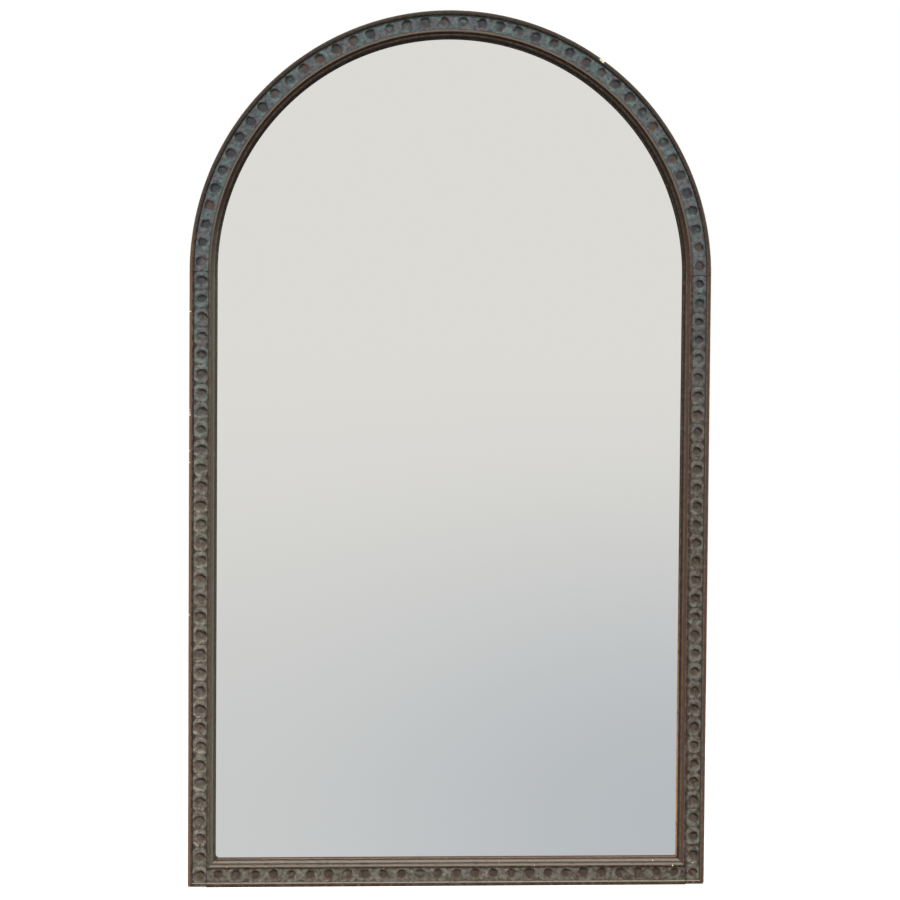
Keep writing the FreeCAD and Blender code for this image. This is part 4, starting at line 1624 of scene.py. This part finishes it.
@dataclass
class Hangers:
    """The straps with their rolled knuckles, the swinging rings and the slotted screws."""

    hinge_side: float = 453 * MM
    hinge_behind: float = 3.4 * MM
    hinge_height: float = 1037 * MM
    strap_width: float = 13 * MM
    strap_thickness: float = 1.5 * MM
    strap_drop: float = 43.5 * MM
    knuckle_bore: float = 1.68 * MM
    knuckle_turn: float = 300.0
    strap_edge: float = 0.22 * MM
    wire_radius: float = 1.6 * MM
    ring_half: float = 11.6 * MM
    ring_leg: float = 10 * MM
    ring_corner: float = 2.4 * MM
    fold_length: float = 8 * MM
    foot_angles: tuple[int, ...] = (0, 18, 36, 52, 66, 78, 86)
    screw_drops: tuple[float, float] = (29 * MM, 43 * MM)
    screw_profile: tuple[tuple[float, float], ...] = (
        (0, 3.7), (1.2, 3.66), (2.3, 3.45), (3.1, 3.05), (3.62, 2.45), (3.8, 1.75), (3.65, 1.5), (1.9, 1.5),
        (1.9, -13.0), (1.5, -15.0), (0, -18.5))
    slot_half: float = 0.45 * MM
    slot_floor: float = 2.45 * MM

    def build(self) -> None:
        """Builds both hangers and their screws."""
        steel = OldIron("dull_plated_steel", srgb(150, 144, 132), srgb(104, 74, 52), 0.35, 0.34).material()
        for side, name in ((-1, "left"), (1, "right")):
            hinge = Vector((side * self.hinge_side, self.hinge_behind, self.hinge_height))
            strap = self.strap(hinge, f"{name}_rolled_strap")
            hand_over(strap, f"{name}_hanger_strap", "frame", "hanger_steel", steel)
            ring = self.ring(hinge, f"{name}_wire_ring")
            hand_over(ring, f"{name}_hanger_ring", f"{name}_ring", "hanger_steel", steel)
        hand_over(self.screws(), "hanger_screws", "frame", "hanger_steel", steel)

    def strap(self, hinge: Vector, name: str) -> bpy.types.Object:
        """Rolls one strap's knuckle and draws its plate down to the round foot.

        Args:
            hinge: the middle of the knuckle.
            name: the piece's name.

        Returns:
            The strap.
        """
        bm = bmesh.new()
        start = hinge - Vector((0, self.knuckle_bore + self.strap_thickness / 2, 0))
        place = Matrix.Translation(start) @ Matrix.Diagonal((self.strap_width, self.strap_thickness, 1, 1))
        bmesh.ops.create_grid(bm, x_segments=1, y_segments=1, size=0.5, matrix=place)
        bmesh.ops.spin(bm, geom=list(bm.faces), cent=hinge, axis=(1, 0, 0), dvec=(0, 0, 0),
                       angle=math.radians(-self.knuckle_turn), steps=22, use_merge=False, use_duplicate=False)
        face = min(bm.faces, key=lambda each: (each.calc_center_median() - start).length)
        flat = self.strap_thickness / 2 - start.y
        face = self.draw_down(bm, face, Vector((0, flat, -self.fold_length)), 1.0)
        face = self.draw_down(bm, face, Vector((0, 0, self.fold_length - self.strap_drop)), 1.0)
        angles = [math.radians(degrees) for degrees in self.foot_angles]
        for near, far in zip(angles, angles[1:]):
            drop = self.strap_width / 2 * (math.sin(far) - math.sin(near))
            face = self.draw_down(bm, face, Vector((0, 0, -drop)), math.cos(far) / math.cos(near))
        bmesh.ops.recalc_face_normals(bm, faces=bm.faces)
        ease_edges(bm, 40, self.strap_edge)
        smooth_faces(bm)
        sharpen(bm, 50)
        return finished(bm, name)

    @staticmethod
    def draw_down(bm: bmesh.types.BMesh, face: bmesh.types.BMFace, way: Vector,
                  narrow: float) -> bmesh.types.BMFace:
        """Draws a plate's end face on and narrows it.

        Args:
            bm: the mesh.
            face: the end face.
            way: how far it moves.
            narrow: the share of its width that is left.

        Returns:
            The new end face.
        """
        made = bmesh.ops.extrude_face_region(bm, geom=[face])["geom"]
        verts = of_kind(made, bmesh.types.BMVert)
        end = of_kind(made, bmesh.types.BMFace)[0]
        bmesh.ops.delete(bm, geom=[face], context="FACES")
        bmesh.ops.translate(bm, verts=verts, vec=way)
        to_middle = Matrix.Translation(-end.calc_center_median())
        bmesh.ops.scale(bm, verts=verts, vec=(narrow, 1, 1), space=to_middle)
        return end

    def ring(self, hinge: Vector, name: str) -> bpy.types.Object:
        """Bends one ring: a bar through the knuckle, two legs and a round bow below.

        Args:
            hinge: the middle of the knuckle.
            name: the piece's name.

        Returns:
            The ring.
        """
        wire = BentWire(self.wire_radius)
        bar = Vector((self.ring_half - self.ring_corner, 0, 0))
        corner = Vector((0, 0, -self.ring_corner))
        leg = Vector((0, 0, self.ring_corner - self.ring_leg))
        wire.start(hinge, Vector((1, 0, 0)))
        wire.run(bar)
        wire.turn(hinge + bar + corner, 90, 6)
        wire.run(leg)
        wire.turn(hinge - Vector((0, 0, self.ring_leg)), 180, 20)
        wire.run(-leg)
        wire.turn(hinge - bar + corner, 90, 6)
        wire.run(bar)
        return wire.close(name)

    def screws(self) -> bpy.types.Object:
        """Turns one slotted screw and sets a copy in each hole. Returns the four as one piece."""
        bm = bmesh.new()
        verts = [bm.verts.new((radius * MM, behind * MM, 0)) for radius, behind in self.screw_profile]
        edges = [bm.edges.new(pair) for pair in zip(verts, verts[1:])]
        bmesh.ops.spin(bm, geom=verts + edges, cent=(0, 0, 0), axis=(0, 1, 0), dvec=(0, 0, 0), angle=math.tau,
                       steps=24, use_merge=True, use_duplicate=False)
        bmesh.ops.remove_doubles(bm, verts=bm.verts, dist=0.01 * MM)
        bmesh.ops.recalc_face_normals(bm, faces=bm.faces)
        for side in (-1, 1):
            bmesh.ops.bisect_plane(bm, geom=bm.verts[:] + bm.edges[:] + bm.faces[:], dist=0.001 * MM,
                                   plane_co=(side * self.slot_half, 0, 0), plane_no=(1, 0, 0))
        top = [face for face in bm.faces if abs(face.calc_center_median().x) < self.slot_half
               and face.calc_center_median().y > self.slot_floor]
        made = bmesh.ops.extrude_face_region(bm, geom=top)["geom"]
        bmesh.ops.delete(bm, geom=top, context="FACES")
        for vert in of_kind(made, bmesh.types.BMVert):
            vert.co.y = self.slot_floor
        smooth_faces(bm)
        sharpen(bm, 40)
        pattern = bm.verts[:] + bm.edges[:] + bm.faces[:]
        dice = random.Random(5)
        for side in (-1, 1):
            for drop in self.screw_drops:
                moved = of_kind(bmesh.ops.duplicate(bm, geom=pattern)["geom"], bmesh.types.BMVert)
                turned = Matrix.Rotation(dice.uniform(0, math.pi), 3, "Y")
                bmesh.ops.rotate(bm, verts=moved, cent=(0, 0, 0), matrix=turned)
                hole = (side * self.hinge_side, 0, self.hinge_height - drop)
                bmesh.ops.translate(bm, verts=moved, vec=hole)
        bmesh.ops.delete(bm, geom=of_kind(pattern, bmesh.types.BMVert), context="VERTS")
        return finished(bm, "slotted_screws")


@dataclass
class Studio:
    """The camera, the lamps, the pale floor and the white background."""

    position: tuple[float, float, float] = (-0.282, -4.5, 0.990)
    yaw: float = 3.602
    pitch: float = -2.56
    roll: float = 0.442
    lens: float = 99.57
    sensor: float = 36.0
    sun_strength: float = 3.4
    sun_elevation: float = 54.0
    sun_azimuth: float = -4.0
    sun_size: float = 12.0
    floor_radius: float = 9.0
    floor_fade: tuple[float, float] = (1.2, 3.2)
    floor_glow: float = 0.3
    fill: float = 0.36
    room_above: Colour = (0.77, 0.75, 0.715, 1.0)
    room_below: Colour = (0.50, 0.525, 0.55, 1.0)
    white: Colour = (1.0, 1.0, 1.0, 1.0)

    def build(self) -> None:
        """Builds the whole studio."""
        bpy.context.scene.view_settings.view_transform = "Standard"
        self.add_camera()
        self.add_sun()
        self.add_floor()
        self.paint_world()

    def add_camera(self) -> None:
        """Sets the camera where the photograph was taken from."""
        yaw, pitch, roll = (math.radians(angle) for angle in (self.yaw, self.pitch, self.roll))
        forward = Vector((math.sin(yaw) * math.cos(pitch), math.cos(yaw) * math.cos(pitch), math.sin(pitch)))
        level_right = Vector((math.cos(yaw), -math.sin(yaw), 0.0))
        level_up = level_right.cross(forward)
        right = level_right * math.cos(roll) + level_up * math.sin(roll)
        up = level_up * math.cos(roll) - level_right * math.sin(roll)
        turn = Matrix((right, up, -forward)).transposed().to_4x4()
        data = bpy.data.cameras.new("camera")
        data.lens = self.lens
        data.sensor_width = self.sensor
        camera = bpy.data.objects.new("camera", data)
        camera.matrix_world = Matrix.Translation(self.position) @ turn
        bpy.context.scene.collection.objects.link(camera)
        bpy.context.scene.camera = camera

    def add_sun(self) -> None:
        """Lights the frame softly from above and in front."""
        data = bpy.data.lights.new("soft_key", "SUN")
        data.energy = self.sun_strength
        data.angle = math.radians(self.sun_size)
        lamp = bpy.data.objects.new("soft_key", data)
        elevation, azimuth = math.radians(self.sun_elevation), math.radians(self.sun_azimuth)
        towards = Vector((math.sin(azimuth) * math.cos(elevation), -math.cos(azimuth) * math.cos(elevation),
                          math.sin(elevation)))
        lamp.rotation_euler = towards.to_track_quat("Z", "Y").to_euler()
        bpy.context.scene.collection.objects.link(lamp)

    def add_floor(self) -> None:
        """Lays a pale floor that fades into the white background and keeps the shadow."""
        bm = bmesh.new()
        bmesh.ops.create_circle(bm, cap_ends=True, radius=self.floor_radius, segments=96)
        floor = finished(bm, "pale_floor")
        material, graph = new_material("pale_floor")
        place = graph.place()
        far = graph.vector_math("LENGTH", place, output="Value").step(*self.floor_fade)
        camera_ray, glossy_ray = graph.ray_kinds()
        pale = graph.mix(graph.noise(place, 3, 2) * 0.3, srgb(226, 226, 225), srgb(221, 221, 219))
        diffuse = graph.node("ShaderNodeBsdfDiffuse", {}, {"Color": pale, "Roughness": 0.6})
        strength = camera_ray * self.floor_glow
        glow = graph.node("ShaderNodeEmission", {}, {"Color": self.white, "Strength": strength})
        lit = graph.node("ShaderNodeAddShader", {}, {0: diffuse, 1: glow})
        hidden = (camera_ray * far).maximum(glossy_ray)
        shown = graph.mix_shaders(hidden, lit, graph.node("ShaderNodeBsdfTransparent"))
        graph.add("ShaderNodeOutputMaterial", {}, {"Surface": shown})
        floor.data.materials.append(material)

    def paint_world(self) -> None:
        """White behind the mirror, a plain fill all round, and the room that the glass reflects."""
        world = bpy.data.worlds.new("plain_room")
        world.use_nodes = True
        bpy.context.scene.world = world
        graph = Graph(world.node_tree)
        direction = graph.node("ShaderNodeTexCoord", output="Generated")
        height, side = graph.axis(direction, "Z"), graph.axis(direction, "X")
        lower = height.step(0.0, -0.19) * (0.55 + side.step(-0.04, 0.16) * 0.45)
        room = graph.mix(lower, self.room_above, self.room_below)
        camera_ray, glossy_ray = graph.ray_kinds()
        fill = graph.background(self.white, self.fill)
        reflected = graph.mix_shaders(glossy_ray, fill, graph.background(room, 1.0))
        shown = graph.mix_shaders(camera_ray, reflected, graph.background(self.white, 1.0))
        graph.add("ShaderNodeOutputWorld", {}, {"Surface": shown})


def main() -> None:
    """Builds every class in order."""
    logging.basicConfig(level=logging.INFO, format="%(message)s")
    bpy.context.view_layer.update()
    CarvedFrame().build()
    GlassAndBack().build()
    Hangers().build()
    Studio().build()
    bpy.context.view_layer.update()


if __name__ == "__main__":
    main()
